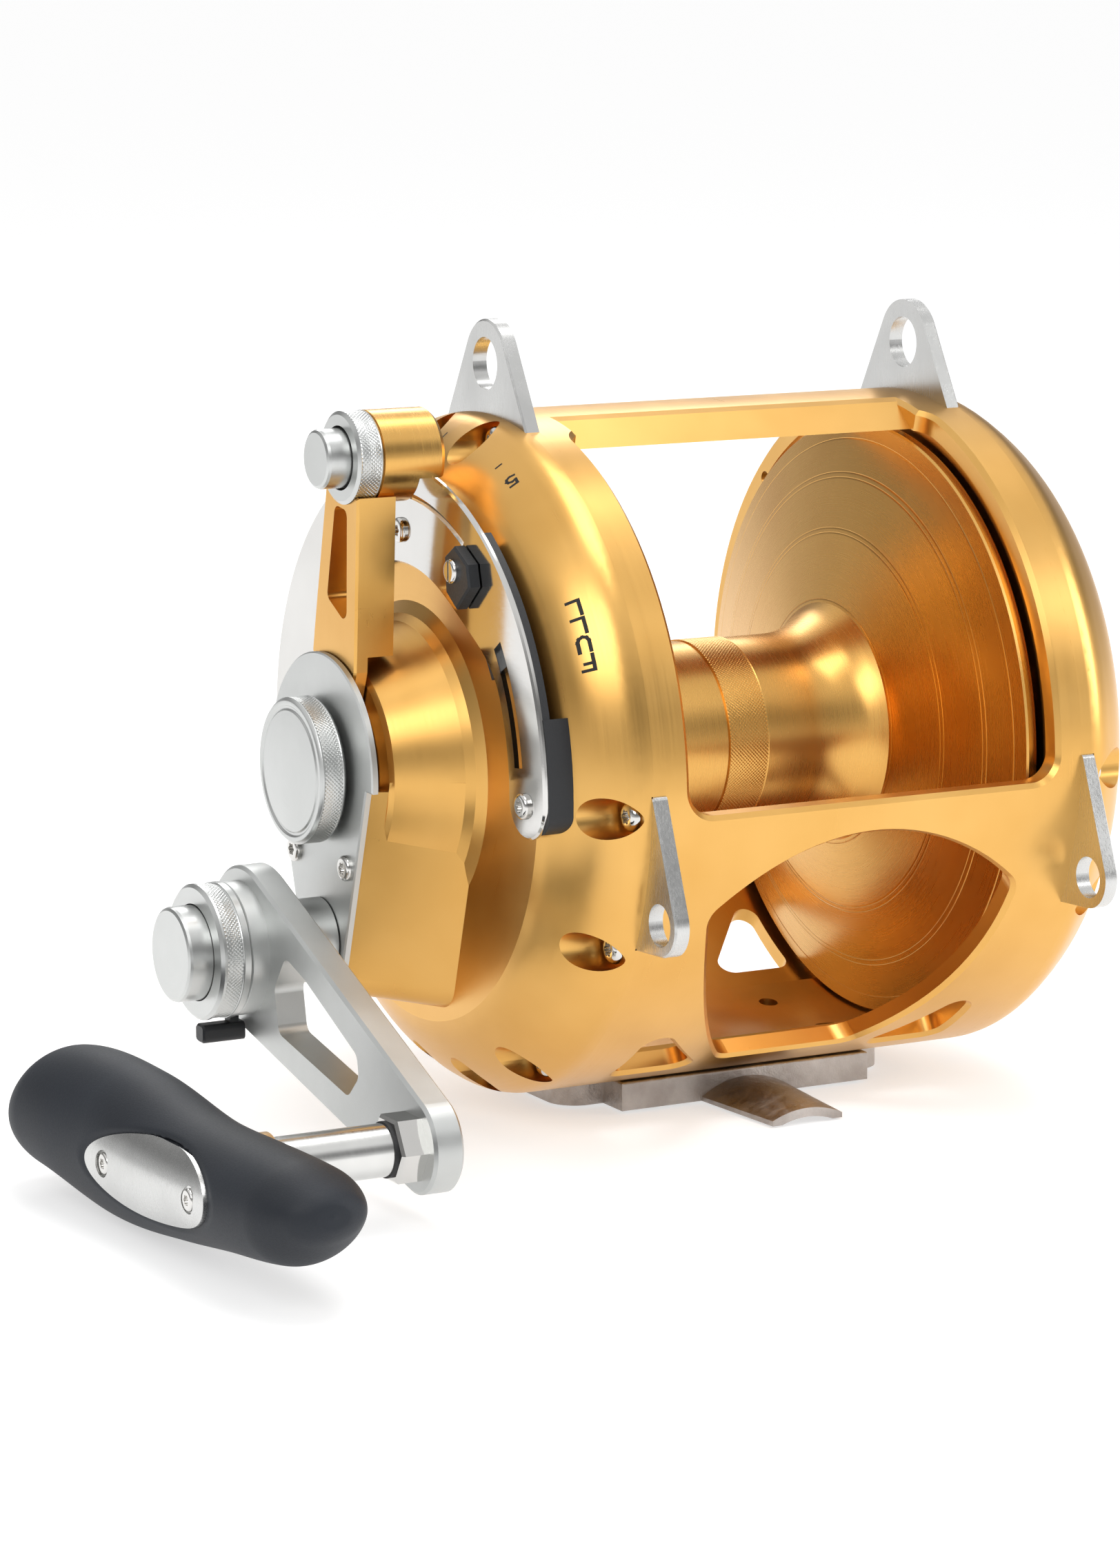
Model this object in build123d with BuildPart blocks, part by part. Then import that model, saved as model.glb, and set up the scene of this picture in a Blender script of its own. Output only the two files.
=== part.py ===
from build123d import *
from math import acos, cos, hypot, pi, radians, sin, tan
import os

# Two-speed lever-drag trolling reel, in millimetres.
# X runs along the spool axis with the crank at -X, -Y is the line-exit side and +Z is up.
# The origin is the centre of the reel foot's underside.

# ---- driving dimensions ----
AXIS_Z = 94.0            # spool axis above the foot's underside
RING_R = 89.0            # outside of the frame and the side plates
SHELL_R = 83.5           # inside of the frame's shell
RING_BORE_R = 81.0       # bore of the frame's two end rings
PAD_R = 81.2             # inside of the thick floor over the foot
SEAM_X = 61.2            # joint between the frame and a side plate
WINDOW_X = 54.0          # half length of the frame's windows
WINDOW_BEVEL = 1.2       # chamfer round the outside of each window
FACE_X = 85.7            # flat outer face of a side plate
FACE_R = 68.1            # rim of that flat face
CASE_X = 110.8           # front of the gear case
HUB_X = 106.4            # front of the round hub, and floor of the lever slot
CRANK_DROP = 44.5        # crank axis below the spool axis
CRANK_Z = AXIS_Z - CRANK_DROP
SHAFT_R = 5.0            # spool shaft
SLEEVE_R = 8.0           # drive sleeve round the spool shaft
CRANK_SHAFT_R = 7.0
RUNNING = 0.05           # radial clearance of a running fit
GAP = 0.3                # space between parts that pass each other
MODULE = 1.0             # gear teeth
HIGH_MAIN, HIGH_PINION = 61, 28
LOW_MAIN, LOW_PINION = 46, 43
GEAR_WIDTH = 5.0
HIGH_GEAR_X = -78.4
LOW_GEAR_X = -71.9
SCREW_R = 83.5           # circle of the side-plate screws
SCREW_ANGLES = (-8, -45, -92, -117, -153, -172, 8, 92, 117, 153, 172)
SCREW_SEAT_X = 66.6
LUG_T = 4.0
LEVER_REST = 7.5         # drag lever's lean towards the front at rest
BARREL_R = 81.5          # radius of the lever's barrel axis
ARM_LEAN = 17.4          # crank arm's droop below level
ARM_LENGTH = 101.8
STUD_Y = -ARM_LENGTH * cos(radians(ARM_LEAN))
STUD_Z = CRANK_Z - ARM_LENGTH * sin(radians(ARM_LEAN))

os.makedirs("parts", exist_ok=True)

SPOOL_AXIS = Axis((0, 0, AXIS_Z), (1, 0, 0))
CRANK_AXIS = Axis((0, 0, CRANK_Z), (1, 0, 0))
STUD_AXIS = Axis((0, STUD_Y, STUD_Z), (1, 0, 0))


# ---- planes and profiles ----
def cross_plane(x):
    """Plane square to the spool axis, local x = +Y and local y = +Z, centred on that axis."""
    return Plane(origin=(x, 0, AXIS_Z), x_dir=(0, 1, 0), z_dir=(1, 0, 0))


def radial_plane(angle, y=0.0, z=AXIS_Z):
    """Plane holding an axis along X, local y = outward at this angle from the top to the front."""
    turn = radians(angle)
    return Plane(origin=(0, y, z), x_dir=(1, 0, 0), z_dir=(0, -cos(turn), -sin(turn)))


def tangent_plane(angle, r):
    """Plane touching the cylinder of radius r at this angle, local x = +X, facing outward."""
    turn = radians(angle)
    origin = (0, -r * sin(turn), AXIS_Z + r * cos(turn))
    return Plane(origin=origin, x_dir=(1, 0, 0), z_dir=(0, -sin(turn), cos(turn)))


def arm_plane(x):
    """Plane of the crank arm, local x = outward along the arm, facing the angler's hand."""
    lean = radians(ARM_LEAN)
    return Plane(origin=(x, 0, CRANK_Z), x_dir=(0, -cos(lean), -sin(lean)), z_dir=(-1, 0, 0))


def polar(r, angle):
    """Cross-plane point at radius r and angle degrees from the top towards the front."""
    return (-r * sin(radians(angle)), r * cos(radians(angle)))


def disc(x, outer, inner=0.0, at=(0.0, 0.0)):
    """Round face square to the spool axis, with a hole where inner isn't zero."""
    with BuildSketch(cross_plane(x)) as face:
        with Locations(at):
            Circle(outer)
            if inner > 0:
                Circle(inner, mode=Mode.SUBTRACT)
    return face.sketch


def lathe(points, plane=radial_plane(0)):
    """Closed half profile from (x, radius) points, for turning about its axis."""
    with BuildSketch(plane) as section:
        with BuildLine():
            Polyline(*points, close=True)
        make_face()
    return section.sketch


def arc_band(x, outer, inner, start, end, end_round=0.0):
    """Part of a ring between two radii and two angles, its outer far corner rounded if asked."""
    middle = (start + end) / 2
    with BuildSketch(cross_plane(x)) as band:
        with BuildLine():
            ThreePointArc(polar(outer, start), polar(outer, middle), polar(outer, end))
            Line(polar(outer, end), polar(inner, end))
            ThreePointArc(polar(inner, end), polar(inner, middle), polar(inner, start))
            Line(polar(inner, start), polar(outer, start))
        make_face()
        if end_round > 0:
            fillet(band.vertices().sort_by_distance(polar(outer, end))[0], end_round)
    return band.sketch


def involute_tooth(teeth, backlash=0.12):
    """Points of one gear tooth about the +X direction, root to root, as (radius, angle)."""
    pitch = MODULE * teeth / 2
    base = pitch * cos(radians(20))
    tip = pitch + MODULE
    root = pitch - 1.25 * MODULE
    half_at_pitch = pi / (2 * teeth) - backlash / (2 * pitch)

    def involute_angle(r):
        press = acos(base / r)
        return tan(press) - press

    half_at_base = half_at_pitch + involute_angle(pitch)
    start = max(base, root)
    flank = []
    for step in range(5):
        r = start + (tip - start) * step / 4
        flank.append((r, half_at_base - involute_angle(r)))
    rising = [(root, flank[0][1])] if root < base else []
    rising += flank
    return [(r, -a) for r, a in rising] + [(r, a) for r, a in reversed(rising)]


def gear_face(x, teeth, bore, at, phase):
    """Spur gear outline with a tooth centred on the phase angle, counted from +Y."""
    points = []
    for tooth in range(teeth):
        centre = radians(phase + 360 * tooth / teeth)
        for r, angle in involute_tooth(teeth):
            points.append((at[0] + r * cos(centre + angle), at[1] + r * sin(centre + angle)))
    with BuildSketch(cross_plane(x)) as gear:
        with BuildLine():
            Polyline(*points, close=True)
        make_face()
        with Locations(at):
            Circle(bore, mode=Mode.SUBTRACT)
    return gear.sketch


def star(plane, r):
    """Six-lobed driver recess of tip radius r."""
    with BuildSketch(plane) as recess:
        Circle(r * 0.78)
        with PolarLocations(r * 0.72, 6):
            Circle(r * 0.28)
    return recess.sketch


def button_screw(plane, head_r, head_h, shank_r, length):
    """Round-headed screw, its seat on the plane and its head along the plane's normal."""
    with BuildPart() as screw:
        with BuildSketch(plane):
            Circle(head_r)
        extrude(amount=head_h)
        fillet(screw.faces().sort_by(SortBy.DISTANCE).edges().group_by(
            lambda e: round((Vector(e.center()) - plane.origin).dot(plane.z_dir), 3))[-1], head_h * 0.7)
        with BuildSketch(plane):
            Circle(shank_r)
        extrude(amount=-length)
        extrude(star(plane.offset(head_h), head_r * 0.5), amount=-head_h * 0.6, mode=Mode.SUBTRACT)
    return screw.part


def outward_plane(x, y, z, side):
    """Plane at a point, facing along X towards the given side."""
    return Plane(origin=(x, y, z), x_dir=(0, 1, 0), z_dir=(side, 0, 0))


def bearing_race(x, width, bore, outer, plane=radial_plane(0)):
    """Sealed ball bearing as one turned ring with a groove between its races on each face."""
    mid = (bore + outer) / 2
    groove = (outer - bore) * 0.16
    depth = width * 0.12
    points = [(x, bore), (x + width, bore), (x + width, mid - groove), (x + width - depth, mid - groove)]
    points += [(x + width - depth, mid + groove), (x + width, mid + groove), (x + width, outer)]
    points += [(x, outer), (x, mid + groove), (x + depth, mid + groove), (x + depth, mid - groove)]
    points += [(x, mid - groove)]
    return lathe(points, plane)


CRANK_SECTION = radial_plane(0, 0, CRANK_Z)
STUD_SECTION = radial_plane(0, STUD_Y, STUD_Z)
CRANK_AT = (0.0, -CRANK_DROP)
STUD_AT = (STUD_Y, STUD_Z - AXIS_Z)


def dome(side):
    """Half section of a side plate's outside, from the seam over the shoulder to the axis."""
    with BuildSketch(radial_plane(0)) as section:
        with BuildLine():
            Polyline((side * FACE_X, 0), (side * SEAM_X, 0), (side * SEAM_X, RING_R), (side * 64.5, RING_R))
            Spline((side * 64.5, RING_R), (side * 72, 86.2), (side * 78, 81.3), (side * 83, 74.6),
                   (side * FACE_X, FACE_R), tangents=((side, 0), (side * 0.25, -1)))
            Line((side * FACE_X, FACE_R), (side * FACE_X, 0))
        make_face()
    return section.sketch


def lug_outline(x, lower):
    """Harness lug, its base hidden in the seam."""
    with BuildSketch(cross_plane(x)) as lug:
        if lower:
            with Locations((-93, -28.9)):
                Circle(8)
            with Locations((-88.6, 1.2)):
                Circle(1.4)
            with Locations((-79.5, -35), (-81.5, -2)):
                Circle(2.5)
        else:
            with Locations(polar(101.7, 0.6)):
                Circle(11.4)
            with Locations((20.5, 83.5), (-23.5, 82.5), (18, 80), (-20, 80)):
                Circle(1.6)
        make_hull()
    return lug.sketch


def screw_holes(x, length, r):
    """Row of side-plate screw holes, cut from the part being made."""
    for angle in SCREW_ANGLES:
        extrude(disc(x, r, at=polar(SCREW_R, angle)), amount=length, mode=Mode.SUBTRACT)


def on_window_rim(edge):
    """True for an edge where a window breaks the frame's outer cylinder."""
    spots = [edge.position_at(share) for share in (0, 0.25, 0.5, 0.75, 1)]
    return all(abs(hypot(spot.Y, spot.Z - AXIS_Z) - RING_R) < 0.05 and abs(spot.X) < WINDOW_X + 0.1
               for spot in spots)


# ---- frame ----
with BuildPart() as upper_window:
    with BuildSketch(radial_plane(15)):
        with Locations((0, 85)):
            Rectangle(2 * WINDOW_X, 22)
    revolve(axis=SPOOL_AXIS, revolution_arc=77.5)
    fillet(upper_window.edges().filter_by(GeomType.LINE).filter_by(Axis.X, reverse=True), 7)

with BuildPart() as bar_bevel:
    with BuildSketch(cross_plane(-WINDOW_X + 3)):
        Polygon(polar(89.4, 8), polar(83.2, 15.4), polar(84, 24), polar(96, 22), polar(96, 8), align=None)
    extrude(amount=2 * (WINDOW_X - 3))

with BuildPart() as leaf_window:
    with BuildSketch(tangent_plane(124, RING_R + 6)) as leaf:
        with BuildLine():
            ThreePointArc((-45, 21), (0, 38.6), (45, 21))
            ThreePointArc((45, 21), (37.5, -8), (19, -40))
            Line((19, -40), (-19, -40))
            ThreePointArc((-19, -40), (-37.5, -8), (-45, 21))
        make_face()
        fillet(leaf.vertices().group_by(Axis.Y)[-1], 5)
        fillet(leaf.vertices().group_by(Axis.Y)[0], 6)
    extrude(amount=-26)

with BuildPart() as corner_window:
    with BuildSketch(tangent_plane(146, RING_R + 6)) as corner:
        Polygon((48.5, 18), (49.5, -13), (24, -13), align=None)
        fillet(corner.vertices(), 4)
    extrude(amount=-20)

with BuildPart() as frame:
    revolve(lathe([(-SEAM_X, RING_R), (SEAM_X, RING_R), (SEAM_X, RING_BORE_R), (WINDOW_X + 1, RING_BORE_R),
                   (WINDOW_X + 1, SHELL_R), (-WINDOW_X - 1, SHELL_R), (-WINDOW_X - 1, RING_BORE_R),
                   (-SEAM_X, RING_BORE_R)]), axis=SPOOL_AXIS)
    extrude(arc_band(-WINDOW_X - 1, 86, PAD_R, 162, 198), amount=2 * WINDOW_X + 2)
    with BuildSketch(cross_plane(-WINDOW_X)):
        with Locations((0, -91)):
            Rectangle(60, 10)
    extrude(amount=2 * WINDOW_X, mode=Mode.SUBTRACT)
    for cutter in (upper_window, bar_bevel, leaf_window):
        add(cutter.part, mode=Mode.SUBTRACT)
        add(cutter.part.mirror(Plane.XZ), mode=Mode.SUBTRACT)
    for half in (corner_window.part, corner_window.part.mirror(Plane.YZ)):
        add(half, mode=Mode.SUBTRACT)
        add(half.mirror(Plane.XZ), mode=Mode.SUBTRACT)
    for end in (-SEAM_X, SEAM_X - 8):
        screw_holes(end, 8, 2.0)
    with Locations(*[(x, y, 8) for x in (-30, 30) for y in (-15, 15)]):
        Cylinder(2.6, 16, align=(Align.CENTER, Align.CENTER, Align.MIN), mode=Mode.SUBTRACT)

with BuildPart() as bevelled_frame:
    add(frame.part)
    chamfer([edge for edge in bevelled_frame.edges() if on_window_rim(edge)], WINDOW_BEVEL)
bevelled_frame.part.label = "frame"
export_step(bevelled_frame.part, "parts/frame.step")

# ---- handle side plate with its gear case ----
CASE_SLOPE = 0.285       # how fast the lower case narrows downwards


def case_outline(x, half_width, bottom, r):
    """Tapered lower case seen along X."""
    with BuildSketch(cross_plane(x)) as outline:
        low = half_width - CASE_SLOPE * bottom
        Polygon((-half_width, 0), (-low, -bottom), (low, -bottom), (half_width, 0), align=None)
        fillet(outline.vertices().group_by(Axis.Y)[0], r)
    return outline.sketch


with BuildPart() as handle_side_plate:
    revolve(dome(-1), axis=SPOOL_AXIS)
    loft([case_outline(-CASE_X, 25.3, 58, 7), case_outline(-FACE_X + 1, 39.0, 62.8, 8)])
    revolve(lathe([(-HUB_X, 0), (-HUB_X, 27), (-HUB_X + 1, 28.4), (-89.5, 36.4), (-87.4, 38.2), (-FACE_X, 41.4),
                   (-FACE_X, 0)]), axis=SPOOL_AXIS)
    extrude(disc(-CASE_X, 21.5), amount=CASE_X - HUB_X, mode=Mode.SUBTRACT)
    with BuildSketch(cross_plane(-CASE_X)):
        with Locations((0, 7.5)):
            Rectangle(90, 20)
    extrude(amount=CASE_X - HUB_X, mode=Mode.SUBTRACT)
    extrude(disc(-SEAM_X, 70), amount=-17.6, mode=Mode.SUBTRACT)
    extrude(disc(-SEAM_X, 32.8, at=CRANK_AT), amount=-17.6, mode=Mode.SUBTRACT)
    extrude(disc(-SEAM_X, 13), amount=-23, mode=Mode.SUBTRACT)
    extrude(disc(-SEAM_X, 10.5), amount=-30, mode=Mode.SUBTRACT)
    extrude(disc(-85.3, 18.25), amount=-30, mode=Mode.SUBTRACT)
    extrude(disc(-SEAM_X, 15.5, at=CRANK_AT), amount=-27, mode=Mode.SUBTRACT)
    extrude(disc(-SEAM_X, 11, at=CRANK_AT), amount=-47.3, mode=Mode.SUBTRACT)
    extrude(disc(-SEAM_X, 8, at=CRANK_AT), amount=-55, mode=Mode.SUBTRACT)
    extrude(disc(-SEAM_X, 8, at=(9, -27)), amount=-26, mode=Mode.SUBTRACT)
    screw_holes(-SEAM_X, -12, 2.2)
    for angle in SCREW_ANGLES:
        extrude(disc(-SCREW_SEAT_X, 5.2, at=polar(SCREW_R, angle)), amount=-24, mode=Mode.SUBTRACT)
    extrude(lug_outline(-SEAM_X, False), amount=-LUG_T, mode=Mode.SUBTRACT)
    extrude(lug_outline(-SEAM_X, True), amount=-LUG_T, mode=Mode.SUBTRACT)
    for angle in (45, 165, -75, -165):
        extrude(disc(-SEAM_X, 1.6, at=polar(74.5, angle)), amount=-7, mode=Mode.SUBTRACT)
    for at in ((-15, -23.5), (15, -23.5)):
        extrude(disc(-CASE_X, 1.5, at=at), amount=8, mode=Mode.SUBTRACT)
handle_side_plate.part.label = "handle_side_plate"
export_step(handle_side_plate.part, "parts/handle_side_plate.step")

# ---- left side plate, with the clicker slot ----
with BuildPart() as left_side_plate:
    revolve(dome(1), axis=SPOOL_AXIS)
    extrude(disc(SEAM_X, 70, 16), amount=20.5, mode=Mode.SUBTRACT)
    extrude(disc(SEAM_X, 11), amount=10, mode=Mode.SUBTRACT)
    extrude(disc(SEAM_X, 7), amount=30, mode=Mode.SUBTRACT)
    extrude(disc(FACE_X - 3, 17), amount=5, mode=Mode.SUBTRACT)
    screw_holes(SEAM_X, 12, 2.2)
    for angle in SCREW_ANGLES:
        extrude(disc(SCREW_SEAT_X, 5.2, at=polar(SCREW_R, angle)), amount=24, mode=Mode.SUBTRACT)
    extrude(lug_outline(SEAM_X, False), amount=LUG_T, mode=Mode.SUBTRACT)
    extrude(lug_outline(SEAM_X, True), amount=LUG_T, mode=Mode.SUBTRACT)
    with BuildSketch(cross_plane(SEAM_X)):
        with Locations((0, -46)):
            SlotCenterToCenter(9, 7, rotation=90)
    extrude(amount=30, mode=Mode.SUBTRACT)
    extrude(arc_band(FACE_X - 1.2, 62, 60, -179.9, -0.1), amount=3, mode=Mode.SUBTRACT)
    extrude(arc_band(FACE_X - 1.2, 62, 60, 0.1, 179.9), amount=3, mode=Mode.SUBTRACT)
left_side_plate.part.label = "left_side_plate"
export_step(left_side_plate.part, "parts/left_side_plate.step")

# ---- inner gear cover, screwed to the handle side plate ----
with BuildPart() as gear_cover:
    extrude(disc(-SEAM_X, 78.5), amount=3)
    extrude(disc(-SEAM_X, 16), amount=-2.5)
    extrude(disc(-SEAM_X, 14, at=CRANK_AT), amount=-2.5)
    extrude(disc(-SEAM_X + 3, 9.5), amount=-8, mode=Mode.SUBTRACT)
    extrude(disc(-SEAM_X + 2, 13), amount=-6, mode=Mode.SUBTRACT)
    extrude(disc(-SEAM_X + 2, 11, at=CRANK_AT), amount=-6, mode=Mode.SUBTRACT)
    for angle in (45, 165, -75, -165):
        extrude(disc(-SEAM_X, 1.7, at=polar(74.5, angle)), amount=3, mode=Mode.SUBTRACT)
    for angle in (SCREW_ANGLES):
        extrude(disc(-SEAM_X - 1, 4.6, at=polar(SCREW_R, angle)), amount=5, mode=Mode.SUBTRACT)
gear_cover.part.label = "gear_cover"
export_step(gear_cover.part, "parts/gear_cover.step")

with BuildPart() as gear_cover_screws:
    for angle in (45, 165, -75, -165):
        y, z = polar(74.5, angle)
        add(button_screw(outward_plane(-SEAM_X + 3, y, AXIS_Z + z, 1), 3.0, 1.6, 1.5, 8))
gear_cover_screws.part.label = "gear_cover_screws"
export_step(gear_cover_screws.part, "parts/gear_cover_screws.step")

# ---- side-plate screws and harness lugs, both sides ----
with BuildPart() as side_plate_screws:
    for side in (-1, 1):
        for angle in SCREW_ANGLES:
            y, z = polar(SCREW_R, angle)
            add(button_screw(outward_plane(side * SCREW_SEAT_X, y, AXIS_Z + z, side), 3.9, 2.9, 1.95, 11.5))
side_plate_screws.part.label = "side_plate_screws"
export_step(side_plate_screws.part, "parts/side_plate_screws.step")


def lug_solid(side, lower, hole, at):
    """One harness lug, its outer face chamfered and drilled for the screws that pass it."""
    with BuildPart() as lug:
        extrude(lug_outline(side * SEAM_X, lower), amount=side * LUG_T)
        chamfer(lug.faces().sort_by(Axis.X)[0 if side < 0 else -1].edges(), 0.5)
        extrude(disc(side * SEAM_X, hole, at=at), amount=side * LUG_T, mode=Mode.SUBTRACT)
        for angle in SCREW_ANGLES:
            extrude(disc(side * SEAM_X, 2.2, at=polar(SCREW_R, angle)), amount=side * LUG_T, mode=Mode.SUBTRACT)
    return lug.part


with BuildPart() as top_lugs:
    for side in (-1, 1):
        add(lug_solid(side, False, 6.8, polar(101.7, 0.6)))
top_lugs.part.label = "top_lugs"
export_step(top_lugs.part, "parts/top_lugs.step")

with BuildPart() as lower_lugs:
    for side in (-1, 1):
        add(lug_solid(side, True, 5.4, (-93, -28.9)))
lower_lugs.part.label = "lower_lugs"
export_step(lower_lugs.part, "parts/lower_lugs.step")

# ---- reel foot, gasket and foot screws ----
FOOT_TOP = 7.7
with BuildPart() as reel_foot:
    with BuildSketch(Plane.XY) as plate:
        Rectangle(75.4, 48.8)
        with Locations((-37.7, 0), (37.7, 0)):
            RectangleRounded(24.6, 28, 8)
        fillet(plate.vertices().group_by(Axis.X)[0] + plate.vertices().group_by(Axis.X)[-1], 1)
    extrude(amount=FOOT_TOP)
    fillet(reel_foot.faces().sort_by(Axis.Z)[-1].edges(), 0.8)
    for side in (-1, 1):
        with BuildSketch(Plane.XZ.offset(-side * 20)) as tongue_root:
            with Locations((0, 5.6 - 24)):
                Circle(24)
                Circle(21, mode=Mode.SUBTRACT)
            with Locations((0, -20)):
                Rectangle(60, 40, mode=Mode.SUBTRACT)
            with Locations((0, 5)):
                Rectangle(28, 12, mode=Mode.INTERSECT)
        with BuildSketch(Plane.XZ.offset(-side * 56)) as tongue_tip:
            with Locations((0, 3.4 - 24)):
                Circle(24)
                Circle(21.6, mode=Mode.SUBTRACT)
            with Locations((0, -20.4)):
                Rectangle(60, 40, mode=Mode.SUBTRACT)
            with Locations((0, 5)):
                Rectangle(21, 14, mode=Mode.INTERSECT)
        loft([tongue_root.sketch, tongue_tip.sketch])
    with Locations(*[(x, y, 0) for x in (-30, 30) for y in (-15, 15)]):
        Cylinder(2.6, 30, mode=Mode.SUBTRACT)
        Cylinder(5.0, 7.0, mode=Mode.SUBTRACT)
reel_foot.part.label = "reel_foot"
export_step(reel_foot.part, "parts/reel_foot.step")

with BuildPart() as foot_shim:
    with BuildSketch(Plane.XY.offset(FOOT_TOP)):
        Rectangle(74, 42)
        with Locations(*[(x, y) for x in (-30, 30) for y in (-15, 15)]):
            Circle(2.7, mode=Mode.SUBTRACT)
    extrude(amount=AXIS_Z - 86 - FOOT_TOP)
foot_shim.part.label = "foot_shim"
export_step(foot_shim.part, "parts/foot_shim.step")

with BuildPart() as foot_screws:
    for x, y in ((-30, -15), (-30, 15), (30, -15), (30, 15)):
        plane = Plane(origin=(x, y, 3.5), x_dir=(1, 0, 0), z_dir=(0, 0, -1))
        add(button_screw(plane, 4.6, 3.2, 2.5, 8.2))
foot_screws.part.label = "foot_screws"
export_step(foot_screws.part, "parts/foot_screws.step")

# ---- spool and what turns on it ----
SPOOL_LINE_SIDE = [(22, 25), (39, 32.7), (42.8, 51.2), (46.5, 65.9), (50.4, 80.5)]
with BuildPart() as spool:
    with BuildSketch(radial_plane(0)) as spool_section:
        with BuildLine():
            Polyline((-6, 25.4), (6, 25.4), (6, 25), (20, 25))
            TangentArc((20, 25), (38.6, 32.2), tangent=(1, 0))
            Polyline((38.6, 32.2), (42.8, 51.2), (46.5, 65.9), (50.4, 80), (50.9, 80.5), (53.5, 80.5), (53.5, 77.5),
                     (49.8, 65.5), (46.3, 51), (43.5, 38), (43.5, 16), (52, 16), (52, 13), (34, 13), (34, 11),
                     (26, 11), (26, 8), (-26, 8), (-26, 11), (-34, 11), (-34, 13), (-48.5, 13), (-48.5, 63),
                     (-50.2, 66), (-53.5, 77.5), (-53.5, 80.5), (-50.9, 80.5), (-50.4, 80), (-46.5, 65.9),
                     (-42.8, 51.2), (-38.6, 32.2))
            TangentArc((-20, 25), (-38.6, 32.2), tangent=(-1, 0))
            Polyline((-20, 25), (-6, 25), (-6, 25.4))
        make_face()
    revolve(axis=SPOOL_AXIS)
spool.part.label = "spool"
export_step(spool.part, "parts/spool.step")

with BuildPart() as spool_bearings:
    for x in (-32, 26):
        revolve(bearing_race(x, 6, SHAFT_R + RUNNING, 11), axis=SPOOL_AXIS)
spool_bearings.part.label = "spool_bearings"
export_step(spool_bearings.part, "parts/spool_bearings.step")

with BuildPart() as drag_washer:
    extrude(disc(-48.5, 61, 32), amount=-1)
drag_washer.part.label = "drag_washer"
export_step(drag_washer.part, "parts/drag_washer.step")

CLICK_TEETH = 24
with BuildPart() as clicker_gear:
    with BuildSketch(cross_plane(52)):
        Circle(17.5)
        with PolarLocations(18.2, CLICK_TEETH, start_angle=90 + 180 / CLICK_TEETH):
            RegularPolygon(1.9, 3, rotation=0)
        Circle(13, mode=Mode.SUBTRACT)
    extrude(amount=3)
clicker_gear.part.label = "clicker_gear"
export_step(clicker_gear.part, "parts/clicker_gear.step")

# ---- spool shaft, which the drag cam draws to the handle side ----
with BuildPart() as spool_shaft:
    extrude(disc(-103, SHAFT_R), amount=176)
    extrude(disc(-103, 3.1), amount=8, mode=Mode.SUBTRACT)
    chamfer(spool_shaft.edges().filter_by(GeomType.CIRCLE).sort_by(Axis.X)[-1], 0.6)
spool_shaft.part.label = "spool_shaft"
export_step(spool_shaft.part, "parts/spool_shaft.step")

with BuildPart() as cam_follower:
    revolve(lathe([(-96.2, SHAFT_R), (-96.2, 17.8), (-93.6, 17.8), (-93.6, 12), (-92, 12), (-92, SHAFT_R)]),
            axis=SPOOL_AXIS)
cam_follower.part.label = "cam_follower"
export_step(cam_follower.part, "parts/cam_follower.step")

with BuildPart() as drag_springs:
    for index in range(3):
        flip = 1 if index % 2 == 0 else -1
        x = -91.3 + 1.8 * index
        lean = 0.45 * flip
        revolve(lathe([(x - lean, 5.2), (x + lean, 11.5), (x + lean + 0.8, 11.5), (x - lean + 0.8, 5.2)]),
                axis=SPOOL_AXIS)
drag_springs.part.label = "drag_springs"
export_step(drag_springs.part, "parts/drag_springs.step")

# ---- left end of the shaft ----
with BuildPart() as left_shaft_bush:
    extrude(disc(SEAM_X + 2, 11, SHAFT_R + RUNNING), amount=8)
left_shaft_bush.part.label = "left_shaft_bush"
export_step(left_shaft_bush.part, "parts/left_shaft_bush.step")

with BuildPart() as bearing_cap:
    revolve(lathe([(FACE_X - 3, 0), (FACE_X - 3, 17), (FACE_X + 1.6, 17), (FACE_X + 2.4, 16.2), (FACE_X + 2.4, 11),
                   (FACE_X + 1.4, 10), (FACE_X + 1.4, 0)]), axis=SPOOL_AXIS)
    with BuildSketch(cross_plane(FACE_X)):
        Rectangle(15, 3)
    extrude(amount=3, mode=Mode.SUBTRACT)
bearing_cap.part.label = "bearing_cap"
export_step(bearing_cap.part, "parts/bearing_cap.step")

# ---- drive sleeve, pinions and drag plate ----
with BuildPart() as drive_sleeve:
    extrude(disc(-84, SLEEVE_R, SHAFT_R + RUNNING), amount=33.6)
drive_sleeve.part.label = "drive_sleeve"
export_step(drive_sleeve.part, "parts/drive_sleeve.step")

with BuildPart() as high_pinion:
    extrude(gear_face(HIGH_GEAR_X, HIGH_PINION, SLEEVE_R, (0, 0), 180 / HIGH_PINION - 90), amount=GEAR_WIDTH)
high_pinion.part.label = "high_pinion"
export_step(high_pinion.part, "parts/high_pinion.step")

with BuildPart() as low_pinion:
    extrude(gear_face(LOW_GEAR_X, LOW_PINION, SLEEVE_R, (0, 0), 180 / LOW_PINION - 90), amount=GEAR_WIDTH)
low_pinion.part.label = "low_pinion"
export_step(low_pinion.part, "parts/low_pinion.step")

with BuildPart() as drag_plate:
    revolve(lathe([(-57.6, SLEEVE_R), (-57.6, 14), (-54.3, 18), (-53.3, 20), (-53.3, 62), (-50.3, 62),
                   (-50.3, SLEEVE_R)]), axis=SPOOL_AXIS)
    for angle in range(0, 360, 60):
        extrude(disc(-54, 5, at=polar(41, angle)), amount=4, mode=Mode.SUBTRACT)
drag_plate.part.label = "drag_plate"
export_step(drag_plate.part, "parts/drag_plate.step")

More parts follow.
